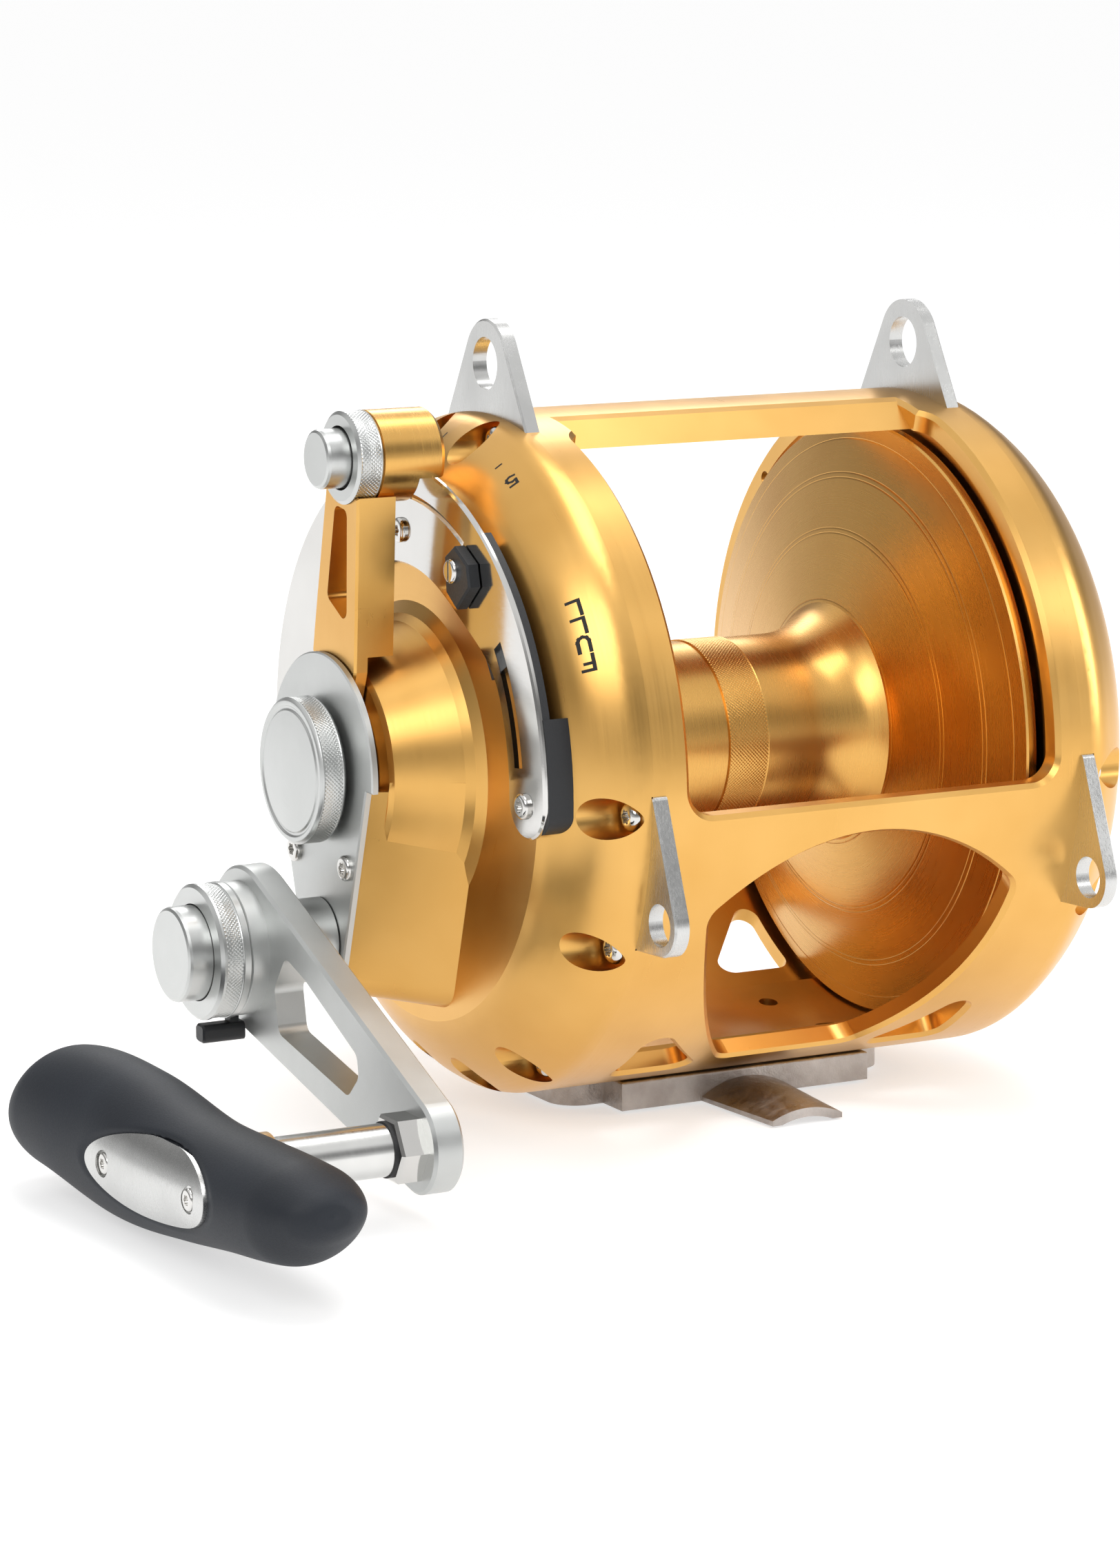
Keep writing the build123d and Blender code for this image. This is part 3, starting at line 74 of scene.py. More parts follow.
# ---- node helpers ----
class Shader:
    """A material's node tree, written as short calls."""

    def __init__(self, name, color, metallic, roughness):
        self.material = bpy.data.materials.new(name)
        self.material.use_nodes = True
        self.nodes = self.material.node_tree.nodes
        self.links = self.material.node_tree.links
        self.surface = self.nodes["Principled BSDF"]
        self.surface.inputs["Base Color"].default_value = (*color, 1)
        self.surface.inputs["Metallic"].default_value = metallic
        self.surface.inputs["Roughness"].default_value = roughness

    def node(self, kind, **settings):
        made = self.nodes.new(kind)
        for key, value in settings.items():
            setattr(made, key, value)
        return made

    def link(self, source, target):
        self.links.new(source, target)

    def math(self, operation, first, second=None):
        made = self.nodes.new("ShaderNodeMath")
        made.operation = operation
        for socket, value in zip(made.inputs, (first, second)):
            if isinstance(value, (int, float)):
                socket.default_value = value
            elif value is not None:
                self.link(value, socket)
        return made.outputs[0]

    def place(self):
        """Object coordinates, which are the reel's own frame for every node."""
        return self.node("ShaderNodeTexCoord").outputs["Object"]

    def noise(self, vector, scale, detail=3.0, roughness=0.5):
        made = self.node("ShaderNodeTexNoise")
        made.inputs["Scale"].default_value = scale
        made.inputs["Detail"].default_value = detail
        made.inputs["Roughness"].default_value = roughness
        self.link(vector, made.inputs["Vector"])
        return made.outputs["Fac"]

    def span(self, value, low, high, start=0.0, end=1.0):
        """Maps start..end of a value to low..high."""
        made = self.node("ShaderNodeMapRange")
        made.inputs["From Min"].default_value = start
        made.inputs["From Max"].default_value = end
        made.inputs["To Min"].default_value = low
        made.inputs["To Max"].default_value = high
        self.link(value, made.inputs["Value"])
        return made.outputs["Result"]

    def colors(self, value, first, second, start=0.0, end=1.0):
        ramp = self.node("ShaderNodeValToRGB")
        ramp.color_ramp.elements[0].position = start
        ramp.color_ramp.elements[0].color = (*first, 1)
        ramp.color_ramp.elements[1].position = end
        ramp.color_ramp.elements[1].color = (*second, 1)
        self.link(value, ramp.inputs["Fac"])
        self.link(ramp.outputs["Color"], self.surface.inputs["Base Color"])

    def rough(self, value):
        self.link(value, self.surface.inputs["Roughness"])

    def bump(self, height, distance, strength=1.0):
        made = self.node("ShaderNodeBump")
        made.inputs["Distance"].default_value = distance
        made.inputs["Strength"].default_value = strength
        self.link(height, made.inputs["Height"])
        before = self.surface.inputs["Normal"].links
        if before:
            self.link(before[0].from_socket, made.inputs["Normal"])
        self.link(made.outputs["Normal"], self.surface.inputs["Normal"])

    def stretched(self, scale):
        """Object coordinates multiplied axis by axis."""
        made = self.node("ShaderNodeMapping")
        made.inputs["Scale"].default_value = scale
        self.link(self.place(), made.inputs["Vector"])
        return made.outputs["Vector"]

    def turned(self, y, z, along, across, around):
        """Coordinates that follow a lathe about an axis along X, so that noise makes turning lines."""
        split = self.node("ShaderNodeSeparateXYZ")
        self.link(self.place(), split.inputs[0])
        off_y = self.math("SUBTRACT", split.outputs["Y"], y)
        off_z = self.math("SUBTRACT", split.outputs["Z"], z)
        squares = self.math("ADD", self.math("MULTIPLY", off_y, off_y), self.math("MULTIPLY", off_z, off_z))
        radius = self.math("SQRT", squares)
        join = self.node("ShaderNodeCombineXYZ")
        self.link(self.math("MULTIPLY", split.outputs["X"], along), join.inputs["X"])
        self.link(self.math("MULTIPLY", radius, across), join.inputs["Y"])
        self.link(self.math("MULTIPLY", self.math("ARCTAN2", off_y, off_z), around), join.inputs["Z"])
        return join.outputs[0]


GOLD = (0.77, 0.45, 0.135)
DEEP_GOLD = (0.69, 0.38, 0.10)
SPOOL_GOLD = (0.77, 0.44, 0.125)
DEEP_SPOOL_GOLD = (0.69, 0.37, 0.095)
SILVER = (0.61, 0.62, 0.61)
DULL_SILVER = (0.52, 0.53, 0.52)
STEEL = (0.68, 0.67, 0.65)


def anodised(name, y, z, colors=(DEEP_GOLD, GOLD), roughness=(0.27, 0.35), lines=2400.0, depth=0.000003,
             streak=0.0):
    """Anodised aluminium turned about an axis along X: fine circular lines under a satin coat."""
    shader = Shader(name, colors[1], 1.0, roughness[0])
    fine = shader.noise(shader.turned(y, z, lines, lines, 1.2), 1.0, 2.0)
    broad = shader.noise(shader.place(), 35.0, 3.0)
    grain = shader.noise(shader.place(), 4000.0, 2.0)
    shader.colors(broad, colors[0], colors[1], 0.25, 0.75)
    shader.rough(shader.span(shader.math("ADD", fine, broad), roughness[0], roughness[1], 0.6, 1.4))
    shader.bump(fine, depth)
    shader.bump(grain, depth * 0.4)
    if streak:
        shader.surface.inputs["Anisotropic"].default_value = streak
        around = shader.node("ShaderNodeTangent", direction_type="RADIAL", axis="X")
        shader.link(around.outputs["Tangent"], shader.surface.inputs["Tangent"])
    shader.surface.inputs["Coat Weight"].default_value = 0.07
    shader.surface.inputs["Coat Roughness"].default_value = 0.25
    return shader.material


def brushed(name, scale, colors, roughness, depth=0.00001):
    """Metal brushed in straight lines: the lines run along the axis with the smallest scale."""
    shader = Shader(name, colors[1], 1.0, roughness[0])
    fine = shader.noise(shader.stretched(scale), 1.0, 3.0)
    broad = shader.noise(shader.place(), 40.0, 3.0)
    shader.colors(broad, colors[0], colors[1], 0.3, 0.7)
    shader.rough(shader.span(shader.math("ADD", fine, broad), roughness[0], roughness[1], 0.6, 1.4))
    shader.bump(fine, depth)
    return shader.material


def cast_steel(name):
    """Rough cast stainless with a blasted skin."""
    shader = Shader(name, (0.45, 0.41, 0.38), 1.0, 0.4)
    lumps = shader.noise(shader.place(), 420.0, 6.0, 0.65)
    patches = shader.noise(shader.place(), 60.0, 4.0)
    shader.colors(patches, (0.30, 0.26, 0.235), (0.56, 0.52, 0.49), 0.3, 0.7)
    shader.rough(shader.span(lumps, 0.30, 0.55, 0.3, 0.7))
    shader.bump(lumps, 0.0004, 0.8)
    return shader.material


def moulded(name, color, roughness, grain_scale=1800.0, depth=0.00004, specular=0.5):
    """Moulded plastic or rubber with a fine grain."""
    shader = Shader(name, color, 0.0, roughness)
    grain = shader.noise(shader.place(), grain_scale, 3.0)
    broad = shader.noise(shader.place(), 30.0, 3.0)
    dark = tuple(value * 0.8 for value in color)
    light = tuple(value * 1.25 for value in color)
    shader.colors(broad, dark, light, 0.3, 0.7)
    shader.rough(shader.span(shader.math("ADD", grain, broad), roughness - 0.05, roughness + 0.08, 0.6, 1.4))
    shader.bump(grain, depth)
    shader.surface.inputs["Specular IOR Level"].default_value = specular
    return shader.material


# ---- one material for each finish ----
gold_shell = anodised("gold_shell", 0, SPOOL_Z)
gold_turned = anodised("gold_turned", 0, SPOOL_Z, (DEEP_SPOOL_GOLD, SPOOL_GOLD), (0.24, 0.31),
                       depth=0.0000015, streak=0.6)
gold_barrel = anodised("gold_barrel", BARREL.y, BARREL.z, roughness=(0.20, 0.30))
gold_milled = brushed("gold_milled", (1800, 1800, 80), (DEEP_GOLD, GOLD), (0.27, 0.35), 0.000003)
silver_blasted = brushed("silver_blasted", (2600, 2600, 2600), (DULL_SILVER, SILVER), (0.36, 0.46), 0.00001)
silver_crank_turned = anodised("silver_crank_turned", 0, CRANK_Z, (DULL_SILVER, SILVER), (0.26, 0.36))
silver_spool_turned = anodised("silver_spool_turned", 0, SPOOL_Z, (DULL_SILVER, SILVER), (0.28, 0.38))
silver_barrel_turned = anodised("silver_barrel_turned", BARREL.y, BARREL.z, (DULL_SILVER, SILVER),
                                (0.26, 0.36))
bright_steel = brushed("bright_steel", (500, 500, 3000), ((0.62, 0.61, 0.59), STEEL), (0.07, 0.14), 0.000002)
lug_steel = brushed("lug_steel", (2500, 2500, 160), ((0.52, 0.52, 0.51), (0.64, 0.64, 0.63)), (0.20, 0.32))
stud_steel = brushed("stud_steel", (2500, 300, 300), ((0.60, 0.60, 0.59), (0.76, 0.76, 0.74)), (0.16, 0.26))
machine_steel = anodised("machine_steel", 0, CRANK_Z, ((0.38, 0.38, 0.38), (0.55, 0.55, 0.54)), (0.25, 0.38))
foot_steel = cast_steel("foot_steel")
hard_plastic = moulded("hard_plastic", (0.009, 0.010, 0.012), 0.42)
grip_rubber = moulded("grip_rubber", (0.012, 0.015, 0.021), 0.56, 2200.0, 0.00003, specular=0.36)
ring_rubber = moulded("ring_rubber", (0.012, 0.012, 0.013), 0.6)
carbon_fibre = moulded("carbon_fibre", (0.03, 0.03, 0.032), 0.35, 900.0)
bronze = anodised("bronze", 0, SPOOL_Z, ((0.42, 0.26, 0.11), (0.58, 0.38, 0.18)), (0.28, 0.40))
print_ink = moulded("print_ink", (0.006, 0.005, 0.004), 0.65)

BY_SLOT = {
    "gold_housing": gold_shell, "gold_spool": gold_turned, "silver_aluminium": silver_blasted,
    "polished_steel": bright_steel, "cast_steel": foot_steel, "inner_steel": machine_steel,
    "black_plastic": hard_plastic, "soft_grip": grip_rubber, "seal_rubber": ring_rubber,
    "carbon": carbon_fibre, "bush_metal": bronze,
}
BY_NODE = {
    "drag_lever": gold_milled, "lever_barrel": gold_barrel, "bearing_cap": gold_turned,
    "top_lugs": lug_steel, "lower_lugs": lug_steel, "grip_stud": stud_steel, "grip_badge": lug_steel,
    "shift_button": silver_crank_turned, "lever_button": silver_barrel_turned,
    "drag_plate": silver_spool_turned, "gear_cover": silver_spool_turned,
}
for name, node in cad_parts.items():
    for index, old in enumerate(node.data.materials):
        node.data.materials[index] = BY_NODE.get(name) or BY_SLOT[old.name.split(".")[0]]


# ---- mesh helpers ----
def finish_mesh(name, work, material, sharp=32):
    """Turns a bmesh into a smooth-shaded object with crisp edges past an angle in degrees."""
    bmesh.ops.remove_doubles(work, verts=work.verts, dist=1e-7)
    bmesh.ops.recalc_face_normals(work, faces=work.faces)
    for face in work.faces:
        face.smooth = True
    for edge in work.edges:
        if len(edge.link_faces) == 2 and edge.calc_face_angle(0) > radians(sharp):
            edge.smooth = False
    mesh = bpy.data.meshes.new(name)
    work.to_mesh(mesh)
    work.free()
    mesh.materials.append(material)
    made = bpy.data.objects.new(name, mesh)
    bpy.context.scene.collection.objects.link(made)
    return made


def softened(points, size):
    """The open outline with each corner between two long enough edges rounded off."""
    out = [points[0]]
    for previous, corner, following in zip(points, points[1:], points[2:]):
        before, here, after = Vector(previous), Vector(corner), Vector(following)
        if min((here - before).length, (after - here).length) < 2.5 * size:
            out.append(corner)
            continue
        start = here + (before - here).normalized() * size
        end = here + (after - here).normalized() * size
        out += [tuple(start), tuple((start + end) / 4 + here / 2), tuple(end)]
    out.append(points[-1])
    return out


def triangle_wave(t):
    """1 at whole numbers, falling evenly to 0 halfway between them."""
    return abs(2 * (t % 1.0) - 1)


NEAR = 1e-6
KNURL_FACETS = 4  # mesh steps to each pitch of a knurl
KNURL_FADE = 0.25  # length over which a knurl reaches full depth at its ends
FINE_KNURL = (1.05, 0.22)  # pitch and depth on the knobs and collars


def turned_piece(name, outline, centre, material, segments=288, knurl=None):
    """A solid turned about an axis along X through centre (y, z), from an outline of (x, r) in millimetres.
    knurl = (from x, to x, radius, pitch, depth) cuts a diamond knurl into that band."""
    if knurl:
        knurl_from, knurl_to, knurl_r, pitch, depth = knurl
        teeth = round(2 * pi * knurl_r / pitch)
        segments = teeth * KNURL_FACETS
    rows = []
    for (x0, r0), (x1, r1) in zip(outline, outline[1:] + outline[:1]):
        rows.append((x0, r0, False))
        if knurl and abs(r0 - knurl_r) < NEAR and abs(r1 - knurl_r) < NEAR and \
                min(x0, x1) >= knurl_from - NEAR and max(x0, x1) <= knurl_to + NEAR:
            steps = max(6, round(abs(x1 - x0) / pitch * KNURL_FACETS))
            rows += [(x0 + (x1 - x0) * step / steps, r0, True) for step in range(1, steps)]
    work = bmesh.new()
    rings = []
    for x, r, cut in rows:
        if r < NEAR:
            rings.append([work.verts.new((x * MM, centre[0], centre[1]))])
            continue
        ring = []
        for index in range(segments):
            turn = index / segments
            radius = r
            if cut:
                across = x / pitch
                first, second = triangle_wave(turn * teeth + across), triangle_wave(turn * teeth - across)
                edge = min(1.0, (x - knurl_from) / KNURL_FADE, (knurl_to - x) / KNURL_FADE)
                radius -= depth * (1 - min(first, second)) * edge
            ring.append(work.verts.new((x * MM, centre[0] - radius * MM * sin(2 * pi * turn),
                                        centre[1] + radius * MM * cos(2 * pi * turn))))
        rings.append(ring)
    for ring, other in zip(rings, rings[1:] + rings[:1]):
        if len(ring) == 1 and len(other) == 1:
            continue
        for index in range(segments):
            after = (index + 1) % segments
            corners = [ring[index % len(ring)], ring[after % len(ring)], other[after % len(other)],
                       other[index % len(other)]]
            work.faces.new(list(dict.fromkeys(corners)))
    return finish_mesh(name, work, material, sharp=24)


def stands_for(piece, node, body):
    """Puts a finished piece in place of a CAD node, on its body."""
    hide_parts(node)
    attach(piece, body)


# ---- spool, with its knurled band and the fine rings engraved in its flanges ----
# Points are (x, r) in millimetres.
FLANGE_FOOT, FLANGE_BEND, FLANGE_KNEE = (20, 25), (31.5, 25), (38.6, 32.2)
BEND_STEPS = 12
FLANGE_RUNS = (  # straight runs outward: start, end, radii of the rings engraved in between
    ((38.6, 32.2), (42.8, 51.2), (33.2, 50.9)),
    ((42.8, 51.2), (46.5, 65.9), (52.2, 65.6)),
    ((46.5, 65.9), (50.4, 80.0), (67.0, 76.0)))
GROOVE = ((-0.5, 0), (-0.12, 0), (0, 0.06), (0.12, 0), (0.29, 0))  # offset along r, and depth


def flange_points():
    """Line side of one flange from the arbor outward, with a small groove at each engraved ring."""
    points = [FLANGE_FOOT]
    start, bend, end = Vector(FLANGE_FOOT), Vector(FLANGE_BEND), Vector(FLANGE_KNEE)
    for step in range(1, BEND_STEPS):
        turn = step / BEND_STEPS
        spot = start * (1 - turn) ** 2 + bend * 2 * turn * (1 - turn) + end * turn ** 2
        points.append((spot.x, spot.y))
    points.append(FLANGE_KNEE)
    for (x0, r0), (x1, r1), rings in FLANGE_RUNS:
        for ring in rings:
            for offset, depth in GROOVE:
                share = (ring + offset - r0) / (r1 - r0)
                points.append((x0 + (x1 - x0) * share + depth, ring + offset))
        points.append((x1, r1))
    return points


right_side = flange_points() + [
    (50.9, 80.5), (53.1, 80.5), (53.5, 80.1), (53.5, 77.5), (49.8, 65.5), (46.3, 51), (43.5, 38),
    (43.5, 16), (52, 16), (52, 13), (34, 13), (34, 11), (26, 11), (26, 8)]
left_side = [
    (-26, 8), (-26, 11), (-34, 11), (-34, 13), (-48.5, 13), (-48.5, 63), (-50.2, 66), (-53.5, 77.5),
    (-53.5, 80.1), (-53.1, 80.5), (-50.9, 80.5)] + [(-x, r) for x, r in reversed(flange_points())]
spool = turned_piece("spool_turned", right_side + left_side, (0, SPOOL_Z), gold_turned)
stands_for(spool, "spool", "spool")

BAND = 6.0
BAND_BED_R, BAND_R = 24.6, 25.4
band_outline = [(-BAND, BAND_BED_R), (-BAND, BAND_R), (BAND, BAND_R), (BAND, BAND_BED_R)]
band = turned_piece("spool_knurl", band_outline, (0, SPOOL_Z), gold_turned,
                    knurl=(-BAND, BAND, BAND_R, 1.0, 0.14))
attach(band, "spool")

# ---- knurled knobs and collars ----
preset_outline = softened([
    (-121.3, 0), (-121.3, 15.6), (-120.9, 16.0), (-120.9, 16.6), (-121.3, 17.0), (-121.3, 18.1),
    (-120.5, 18.9), (-114.8, 18.9), (-114.0, 18.2), (-114.0, 9), (-112.9, 9), (-112.9, 7), (-104, 7),
    (-104, 3.0), (-98, 3.0), (-98, 0)], 0.12)
preset = turned_piece("preset_knob_turned", preset_outline, (0, SPOOL_Z), silver_spool_turned,
                      knurl=(-120.5, -114.8, 18.9, *FINE_KNURL))
stands_for(preset, "preset_knob", "preset")

collar_outline = [(-111.6, 8.2), (-111.6, 10.9), (-110.9, 11.8), (-105.0, 11.8), (-104.3, 11.2),
                  (-104.3, 8.2)]
collar = turned_piece("lever_collar_turned", collar_outline, (BARREL.y, BARREL.z), silver_barrel_turned,
                      knurl=(-110.9, -105.0, 11.8, *FINE_KNURL))
stands_for(collar, "lever_collar", "lever")

crank_outline = [
    (-148.6, 12.5), (-148.6, 16.6), (-147.8, 17.45), (-147.1, 17.5), (-147.1, 17.2), (-142.3, 17.2),
    (-142.3, 17.5), (-140.6, 17.5), (-140.6, 16.6), (-140.2, 16.6), (-140.2, 7), (-141.6, 7),
    (-141.6, 12.5)]
crank_ring = turned_piece("crank_collar_turned", crank_outline, (0, CRANK_Z), silver_crank_turned,
                          knurl=(-147.1, -142.3, 17.2, *FINE_KNURL))
stands_for(crank_ring, "crank_collar", "crank")

# ---- grip: a smooth moulded form through cross sections along its length ----
GRIP_X = (-205.0 - 173.2) / 2  # halfway between its outer and inner faces
GRIP_SLANT = radians(3)
GRIP_AROUND, GRIP_STEPS = 168, 230
GRIP_BORE = (-196.4, -170, 8.0)  # from x, to x, radius
# Cross sections: place along the grip, width, height, shift along Z, shift along X.
GRIP_ROWS = ((-88.6, 0, 0, 1.4, -3.4), (-88, 12, 10, 1.5, -3.4), (-84, 25, 20, 2.2, -3.4),
             (-70, 34, 32, 4.4, -3.0), (-37.5, 32.6, 37.5, 0.9, -0.9), (0, 31.8, 30, -1.6, 0),
             (27.5, 31.8, 26.6, -0.8, 0), (52, 29.6, 24, -0.2, 0), (64, 21, 14, 1.6, 0),
             (68.5, 9, 6, 2, 0), (69, 0, 0, 2, 0))
BADGE_HALF = (33.5, 9.6)
BADGE_SEAT = ((1.1, 1.0, 0.05), (0.7, 1.14, 0.14))  # steps round the badge: depth, edge, width


def smooth_rows(rows, steps):
    """Points on one smooth curve through the rows, with no overshoot in any column."""
    def slope(index, column):
        """Slope of one column at a row, kept flat where the column turns back."""
        if index in (0, len(rows) - 1):
            return 0.0
        before, here, after = rows[index - 1], rows[index], rows[index + 1]
        left = (here[column] - before[column]) / (here[0] - before[0])
        right = (after[column] - here[column]) / (after[0] - here[0])
        return 2 * left * right / (left + right) if left * right > 0 else 0.0

    out = []
    for index in range(len(rows) - 1):
        a, b = rows[index], rows[index + 1]
        gap = b[0] - a[0]
        count = max(5, round(gap / (rows[-1][0] - rows[0][0]) * steps))
        for step in range(count):
            t = step / count
            row = [a[0] + gap * t]
            for column in range(1, len(a)):
                row.append(a[column] * (2 * t ** 3 - 3 * t ** 2 + 1)
                           + slope(index, column) * gap * (t ** 3 - 2 * t ** 2 + t)
                           + b[column] * (3 * t ** 2 - 2 * t ** 3)
                           + slope(index + 1, column) * gap * (t ** 3 - t ** 2))
            out.append(row)
    out.append(list(rows[-1]))
    return out


def eased(t):
    """0 below 0, 1 above 1, and smooth between."""
    t = min(max(t, 0.0), 1.0)
    return t * t * (3 - 2 * t)


def grip_point(row, turn):
    """Point on a cross section, with the badge's seat pressed into the outer side."""
    along, wide, high, shift, lean = row
    angle = 2 * pi * turn
    across, up = wide / 2 * cos(angle), high / 2 * sin(angle)
    if across < 0:
        ring = hypot(along / BADGE_HALF[0], (up + shift) / BADGE_HALF[1])
        across += sum(depth * eased((edge - ring) / width) for depth, edge, width in BADGE_SEAT)
    y = STUD.y / MM - along * cos(GRIP_SLANT) + up * sin(GRIP_SLANT)
    z = STUD.z / MM + along * sin(GRIP_SLANT) + up * cos(GRIP_SLANT) + shift
    return Vector((GRIP_X + lean + across, y, z)) * MM


def build_grip():
    work = bmesh.new()
    rings = []
    for row in smooth_rows(GRIP_ROWS, GRIP_STEPS):
        if row[1] < 0.05:
            rings.append([work.verts.new(grip_point(row, 0))])
        else:
            turns = [index / GRIP_AROUND for index in range(GRIP_AROUND)]
            rings.append([work.verts.new(grip_point(row, turn)) for turn in turns])
    for ring, other in zip(rings, rings[1:]):
        for index in range(GRIP_AROUND):
            after = (index + 1) % GRIP_AROUND
            corners = [ring[index % len(ring)], ring[after % len(ring)], other[after % len(other)],
                       other[index % len(other)]]
            work.faces.new(list(dict.fromkeys(corners)))
    return finish_mesh("grip_moulded", work, grip_rubber, sharp=60)


def drilled(piece, x_from, x_to, radius, centre):
    """Cuts a round bore along X into a piece."""
    work = bmesh.new()
    place = Matrix.Translation(((x_from + x_to) / 2 * MM, *centre)) @ Matrix.Rotation(pi / 2, 4, "Y")
    bmesh.ops.create_cone(work, cap_ends=True, segments=96, radius1=radius * MM, radius2=radius * MM,
                          depth=(x_to - x_from) * MM, matrix=place)
    cutter = finish_mesh("bore_cutter", work, print_ink)
    cut = piece.modifiers.new("bore", "BOOLEAN")
    cut.operation = "DIFFERENCE"
    cut.solver = "EXACT"
    cut.object = cutter
    shaped = bpy.data.meshes.new_from_object(piece.evaluated_get(bpy.context.evaluated_depsgraph_get()))
    piece.modifiers.clear()
    piece.data = shaped
    bpy.data.objects.remove(cutter)


grip = build_grip()
drilled(grip, *GRIP_BORE, (STUD.y, STUD.z))
stands_for(grip, "grip", "grip")

# ---- drag dial printed on the handle-side shoulder ----
# Strokes of each glyph, in shares of its height: across, then up.
GLYPHS = {
    "-": (((0, 0.5), (0.6, 0.5)),),
    "5": (((0.55, 1), (0.08, 1), (0.05, 0.56), (0.3, 0.62), (0.52, 0.5), (0.6, 0.3), (0.5, 0.08),
           (0.28, 0), (0, 0.08)),),
    "F": (((0, 0), (0, 1), (0.6, 1)), ((0, 0.55), (0.45, 0.55))),
    "U": (((0, 1), (0, 0.3), (0.1, 0.08), (0.3, 0), (0.5, 0.08), (0.6, 0.3), (0.6, 1)),),
    "L": (((0, 1), (0, 0), (0.6, 0)),),
}
SHOULDER_R = 83.5
INK_SUNK, INK_PROUD = -0.05, 0.03  # print's underside and top, from the surface
STROKE_STEP = 0.4
RAY_START = 0.1  # metres from the axis, outside the shoulder


def print_marks(name, node, marks):
    """Prints (glyph, x, degrees from the top, height, line width) marks on a round node, in millimetres."""
    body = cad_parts[node]
    into = body.matrix_world.inverted()

    def on_surface(x, degrees, lift):
        """The node's surface straight in from outside at x and degrees, raised by lift."""
        turn = radians(degrees)
        outward = Vector((0, -sin(turn), cos(turn)))
        start = Vector((x * MM, 0, SPOOL_Z)) + outward * RAY_START
        found, place, _, _ = body.ray_cast(into @ start, (into.to_3x3() @ -outward).normalized())
        return body.matrix_world @ place + outward * lift * MM if found else None

    work = bmesh.new()
    for glyph, x, degrees, height, line in marks:
        for stroke in GLYPHS[glyph]:
            flat = [Vector(((0.3 - u) * height, (v - 0.5) * height)) for u, v in stroke]
            for first, last in zip(flat, flat[1:]):
                along = (last - first).normalized() * line / 2
                aside = Vector((-along.y, along.x))
                first, last = first - along, last + along
                steps = max(2, round((last - first).length / STROKE_STEP))
                rings = []
                for step in range(steps + 1):
                    spot = first.lerp(last, step / steps)
                    corners = [(spot + aside, INK_SUNK), (spot + aside, INK_PROUD),
                               (spot - aside, INK_PROUD), (spot - aside, INK_SUNK)]
                    rings.append([on_surface(x + c.x, degrees + c.y / radians(SHOULDER_R), lift)
                                  for c, lift in corners])
                if not all(point for ring in rings for point in ring):
                    continue
                rings = [[work.verts.new(point) for point in ring] for ring in rings]
                work.faces.new(rings[0])
                work.faces.new(rings[-1])
                for ring, other in zip(rings, rings[1:]):
                    for index in range(4):
                        after = (index + 1) % 4
                        work.faces.new((ring[index], ring[after], other[after], other[index]))
    bmesh.ops.recalc_face_normals(work, faces=work.faces)
    mesh = bpy.data.meshes.new(name)
    work.to_mesh(mesh)
    work.free()
    mesh.materials.append(print_ink)
    made = bpy.data.objects.new(name, mesh)
    bpy.context.scene.collection.objects.link(made)
    return made


dial = print_marks("dial_marks", "handle_side_plate", (
    ("-", -75.6, -1.1, 2.0, 0.5), ("-", -75.6, 19.9, 2.0, 0.5),
    ("5", -75.6, 25.2, 3.3, 0.65), ("F", -75.7, 65.3, 3.8, 0.8), ("U", -75.7, 62.0, 3.8, 0.8),
    ("L", -75.7, 58.7, 3.8, 0.8), ("L", -75.7, 55.4, 3.8, 0.8)))
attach(dial, "housing")

# ---- camera at the photograph's viewing angle ----
TARGET = Vector((-0.04294, 0, 0.08384))
BACK = Vector((-0.4652, -0.8672, 0.1777)).normalized()
DISTANCE = 1.3063
LENS = 114.01
ROLL = radians(-0.0924)
camera_data = bpy.data.cameras.new("camera")
camera_data.lens = LENS
camera_data.sensor_width = 36
camera = bpy.data.objects.new("camera", camera_data)
bpy.context.scene.collection.objects.link(camera)
camera.matrix_world = Matrix.Translation(TARGET + BACK * DISTANCE) @ \
    (BACK.to_track_quat("Z", "Y").to_matrix() @ Matrix.Rotation(ROLL, 3, "Z")).to_4x4()
bpy.context.scene.camera = camera

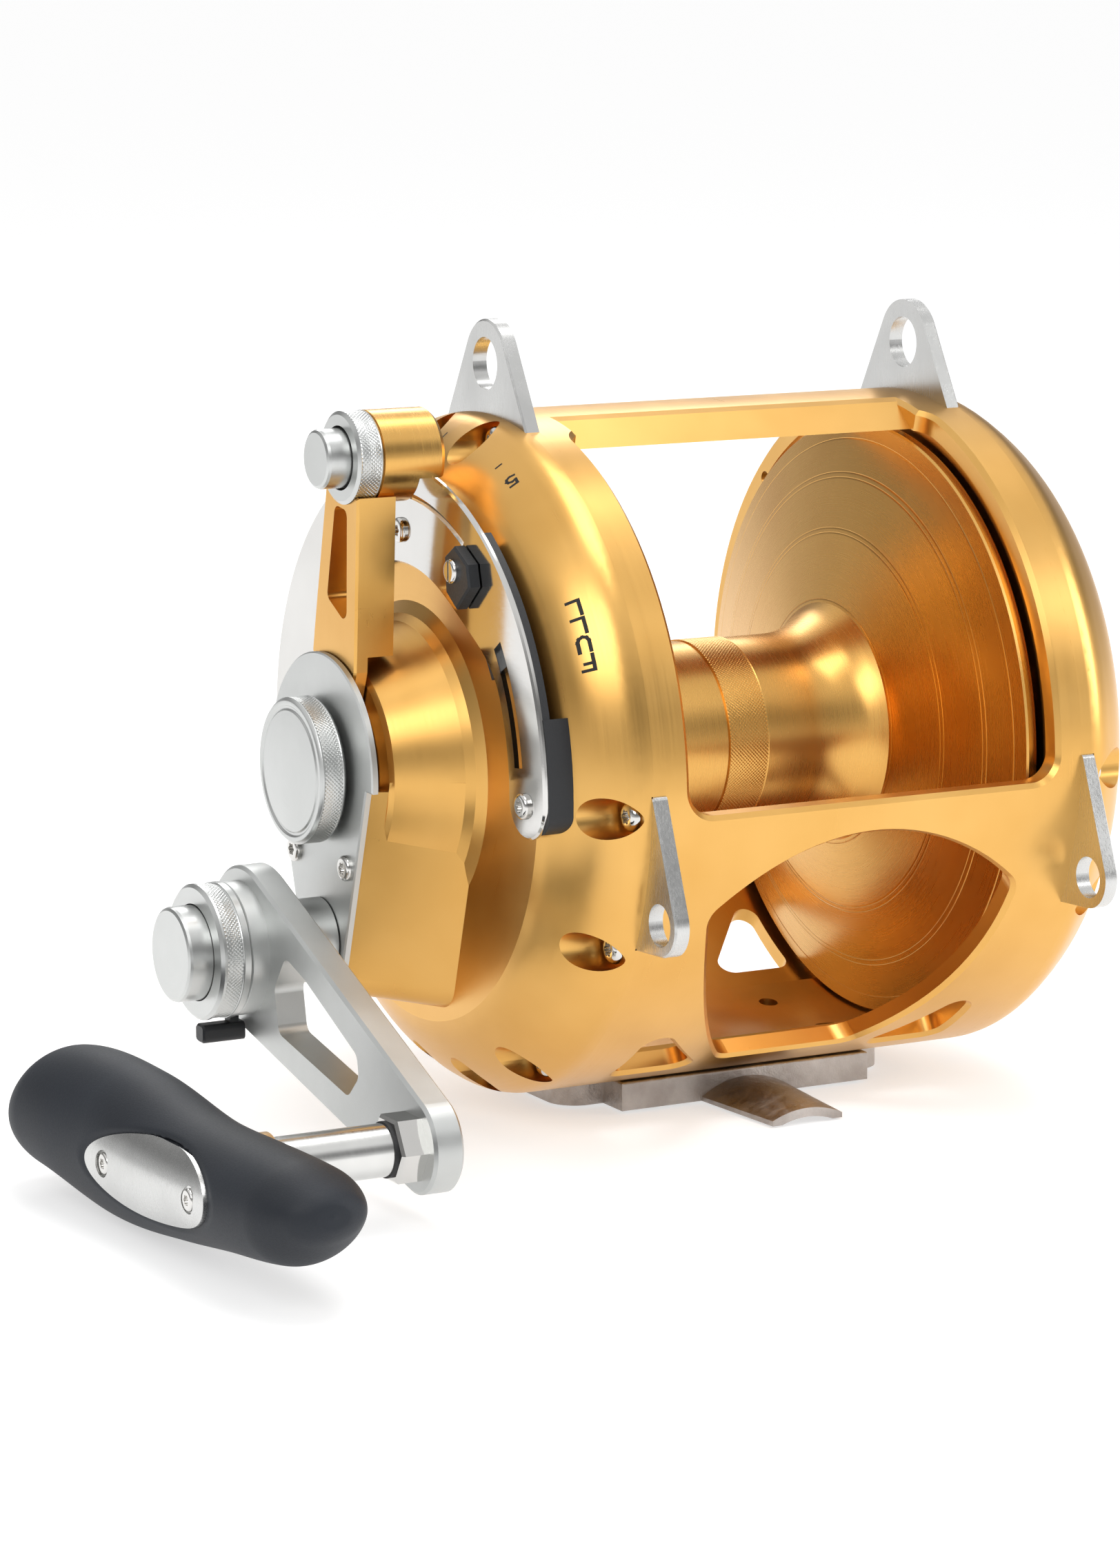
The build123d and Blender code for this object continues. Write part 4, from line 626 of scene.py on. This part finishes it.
# ---- floor, lights and surroundings ----
FLOOR_HALF = 40
FLOOR_GAP = 0.0002
FLOOR_GLOW = 0.57
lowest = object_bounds()[0].z
work = bmesh.new()
bmesh.ops.create_grid(work, x_segments=1, y_segments=1, size=FLOOR_HALF)
floor_shader = Shader("pale_floor", (0.55, 0.55, 0.55), 0.0, 0.9)
floor_shader.surface.inputs["Emission Color"].default_value = (1, 1, 1, 1)
floor_shader.surface.inputs["Emission Strength"].default_value = FLOOR_GLOW
floor = finish_mesh("floor", work, floor_shader.material)
floor.location = (0, 0, lowest - FLOOR_GAP)


def softbox(name, place, aim, size, power):
    """A rectangular light facing aim, with its size in metres and its power in watts."""
    light = bpy.data.lights.new(name, "AREA")
    light.shape = "RECTANGLE"
    light.size, light.size_y = size
    light.energy = power
    made = bpy.data.objects.new(name, light)
    bpy.context.scene.collection.objects.link(made)
    made.location = place
    made.rotation_euler = (Vector(place) - Vector(aim)).to_track_quat("Z", "Y").to_euler()


CENTRE = (-0.02, 0, 0.09)
softbox("key", (-1.5, -1.3, 1.5), CENTRE, (1.1, 1.1), 14)
softbox("overhead", (0.15, -0.1, 1.9), CENTRE, (1.4, 1.0), 15)
softbox("right", (1.6, -1.1, 0.8), CENTRE, (0.6, 1.3), 14)
softbox("rear", (0.6, 1.6, 1.2), CENTRE, (1.0, 0.7), 8)

world = bpy.data.worlds.new("studio")
bpy.context.scene.world = world
world.use_nodes = True
nodes, links = world.node_tree.nodes, world.node_tree.links
background = nodes["Background"]
direction = nodes.new("ShaderNodeTexCoord")
split = nodes.new("ShaderNodeSeparateXYZ")
links.new(direction.outputs["Generated"], split.inputs[0])
ramp = nodes.new("ShaderNodeValToRGB")
links.new(split.outputs["Z"], ramp.inputs["Fac"])
# Grey level of the surroundings by the direction's Z.
STOPS = ((0.0, 0.60), (0.10, 0.60), (0.25, 0.22), (0.42, 0.26), (0.62, 0.90), (1.0, 0.85))
while len(ramp.color_ramp.elements) < len(STOPS):
    ramp.color_ramp.elements.new(0.5)
for element, (place, level) in zip(ramp.color_ramp.elements, STOPS):
    element.position = place
    element.color = (level, level, level, 1)
seen = nodes.new("ShaderNodeLightPath")
mix = nodes.new("ShaderNodeMix")
mix.data_type = "RGBA"
links.new(seen.outputs["Is Camera Ray"], mix.inputs["Factor"])
links.new(ramp.outputs["Color"], mix.inputs["A"])
mix.inputs["B"].default_value = (1, 1, 1, 1)
links.new(mix.outputs["Result"], background.inputs["Color"])
bpy.context.scene.view_settings.view_transform = "Standard"
